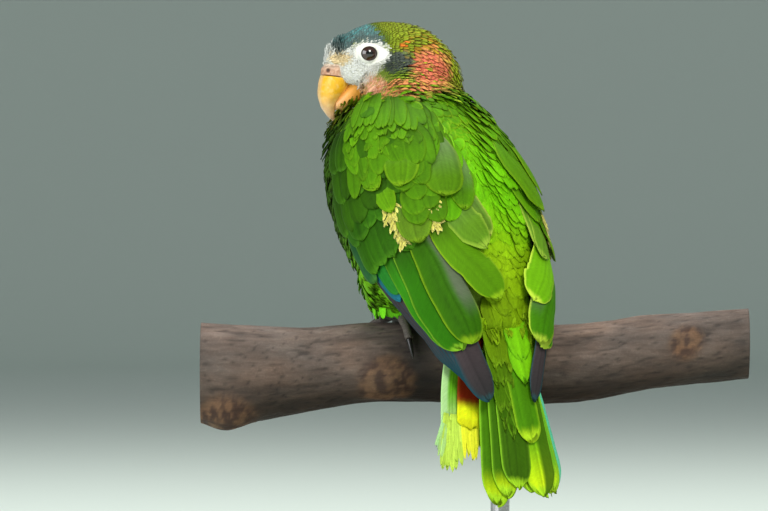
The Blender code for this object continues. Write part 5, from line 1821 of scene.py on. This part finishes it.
def make_perch():
    turn = full_turn(PERCH_SIDES)
    rows = read_rows(PERCH, np.linspace(0, len(PERCH) - 1, PERCH_RINGS))
    rings, tones = [], []
    for x, y, z, radius in rows:
        swell = np.full(PERCH_SIDES, radius - 0.35)
        for high, waves, twist in PERCH_WAVES:
            swell = swell + high * np.sin(waves * turn + twist * x)
        knotty = np.zeros(PERCH_SIDES)
        for knot_x, knot_angle, wide, high in KNOTS:
            turned = (turn - math.radians(knot_angle) + math.pi) % (2 * math.pi) - math.pi
            near = np.exp(-((x - knot_x) ** 2 + (radius * turned) ** 2) / wide**2)
            swell = swell + high * near
            knotty = np.maximum(knotty, near**0.6 * min(1.0, high / 2.6))
        place = np.stack([np.full(PERCH_SIDES, x), radius * np.cos(turn), radius * np.sin(turn)], 1)
        rough = clouds([place * (0.05, 0.16, 0.16)], 1.0, 4)[0]
        crack = np.array([noise.noise(Vector((a * 0.035, b * 0.7, c * 0.7 + 7))) for a, b, c in place])
        swell = swell + 0.35 * np.clip(rough, -1, 1) - 0.35 * np.exp(-((crack / 0.07) ** 2))
        rings.append(np.stack([place[:, 0], y - swell * np.cos(turn), z + swell * np.sin(turn)], 1))
        # Painted light and shade: the bark is painted dark on the perch's underside and lighter on its top,
        # and a painted shadow of the bird darkens it around x = -38.
        under = smooth_step((np.sin(turn) + 0.9) / 1.2) + 0.5 * smooth_step((np.sin(turn) - 0.55) / 0.4)
        painted_bird_shadow = 1 - 0.75 * math.exp(-(((x + 38) / 13) ** 2))
        tone = mix((0.040, 0.025, 0.015), (0.18, 0.135, 0.11), under[:, None]) * painted_bird_shadow
        tone = tone * (1 + 0.45 * rough)[:, None] * (1 - 0.5 * np.exp(-((crack / 0.05) ** 2)))[:, None]
        flaked = clouds([place * 0.22], 0.8, 4)[0]
        brown = mix((0.075, 0.035, 0.02), (0.24, 0.13, 0.065), smooth_step((flaked + 0.35) / 0.7)[:, None])
        tones.append(mix(tone, brown, 0.85 * smooth_step((knotty - 0.25) / 0.35)[:, None]))
    # Sawn ends with paler wood and rings
    for end in (0, -1):
        ring, middle = rings[end], rings[end].mean(0)
        for share in np.linspace(0.96, 0.02, SAWN_RINGS):
            grain = 0.8 + 0.2 * math.sin(share * 60)
            place = 0 if end == 0 else len(rings)
            rings.insert(place, mix(middle, ring, share))
            tones.insert(place, np.tile(np.array((0.42, 0.29, 0.17)) * grain, (PERCH_SIDES, 1)))
    perch = closed_body("perch_bark", *loft(rings))
    finished(perch, np.concatenate(tones), bark_material(), "bark", "perch")


# ---------------------------------------------------------------- studio

CAMERA_X = -55.1
CAMERA_Z = 151.06
CAMERA_FAR = 3000.0
FRAME_WIDE = 364.8
# The studio's round floor, in metres: its flat radius, its bend's radius and its wall's height
BOWL_FLAT, BOWL_BEND, BOWL_WALL = 5.6, 1.2, 3.2
BOWL_COLOUR = (0.70, 0.79, 0.73)
# Soft lights: place and size in metres, power in watts and colour
LIGHTS = (
    ("key", (0.7, -1.9, 1.7), 1.0, 44.0, (1.0, 0.97, 0.90)),
    ("fill", (-1.7, -1.3, 0.8), 1.4, 30.0, (0.95, 0.97, 1.0)),
    ("top", (0.0, 0.5, 2.0), 1.2, 26.0, (1.0, 1.0, 0.97)),
)
LIGHTS_AIM = (0, 0, 0.15)
SKY_COLOUR = (0.9, 0.95, 1.0)
SKY_STRENGTH = 0.26


def make_studio():
    """A round pale floor that sweeps up to a low wall, soft lights and the camera."""
    bend = np.linspace(0, math.pi / 2, 24)
    radii = np.concatenate([[0.001], BOWL_FLAT + BOWL_BEND * np.sin(bend), [BOWL_FLAT + BOWL_BEND]])
    levels = np.concatenate([[0.0], BOWL_BEND * (1 - np.cos(bend)), [BOWL_WALL]])
    turn = full_turn(120)
    radii, levels = radii[:, None], levels[:, None]
    rings = np.stack([radii * np.cos(turn), radii * np.sin(turn), levels + 0 * turn], -1)
    mesh = bpy.data.meshes.new("studio_bowl")
    mesh.from_pydata(rings.reshape(-1, 3).tolist(), [], grid_faces(len(radii), 120, ring=True).tolist())
    mesh.shade_smooth()
    bowl = bpy.data.objects.new("studio_bowl", mesh)
    bpy.context.scene.collection.objects.link(bowl)
    mesh.materials.append(Nodes("studio", base_color=(*BOWL_COLOUR, 1), roughness=0.9).material)
    for name, place, size, power, colour in LIGHTS:
        data = bpy.data.lights.new(name, "AREA")
        data.size, data.energy, data.color = size, power, colour
        lamp = bpy.data.objects.new(name, data)
        lamp.location = place
        lamp.rotation_euler = (Vector(LIGHTS_AIM) - Vector(place)).to_track_quat("-Z", "Y").to_euler()
        bpy.context.scene.collection.objects.link(lamp)
    world = bpy.data.worlds.new("studio_world")
    world.use_nodes = True
    sky = world.node_tree.nodes["Background"].inputs
    sky["Color"].default_value = (*SKY_COLOUR, 1)
    sky["Strength"].default_value = SKY_STRENGTH
    bpy.context.scene.world = world
    lens = bpy.data.cameras.new("photo_angle")
    lens.sensor_width = 36.0
    lens.lens = 36.0 * CAMERA_FAR / FRAME_WIDE
    lens.clip_end = 50
    camera = bpy.data.objects.new("photo_angle", lens)
    camera.location = (CAMERA_X * MM, -CAMERA_FAR * MM, CAMERA_Z * MM)
    camera.rotation_euler = (math.pi / 2, 0, 0)
    bpy.context.scene.collection.objects.link(camera)
    bpy.context.scene.camera = camera
    bpy.context.scene.view_settings.view_transform = "Standard"


body_feather = plumage_material("body_vanes", 0.62, 0.2, 0.25)
head_feather = plumage_material("head_vanes", 0.7, 0.2, 0.3)
head_coat(head_feather)
neck_coat(head_feather)
body_coats(body_feather)
thigh_coat(body_feather)
for side_name, side in SIDES.items():
    make_primaries(side_name, side, body_feather)
    make_secondaries(side_name, side, body_feather)
    make_coverts(side_name, side, body_feather)
make_tail(body_feather)
bare_look = bare_material()
eye_look = eye_material()
for side_name, side in SIDES.items():
    make_eye(side_name, side, eye_look)
    make_lids(side_name, side, bare_look)
bill_look = horn_material("bill", 0.33, 0.0002)
make_upper_bill(bill_look)
make_lower_bill(bill_look)
make_cere(bare_look)
make_feet()
make_perch()
make_studio()
for name, look, slot in (
    ("stand_base", wood_material(), "stand_wood"),
    ("stand_rod", steel_material(), "stand_steel"),
):
    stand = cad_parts[name]
    stand.data.materials.clear()
    stand.data.materials.append(look)
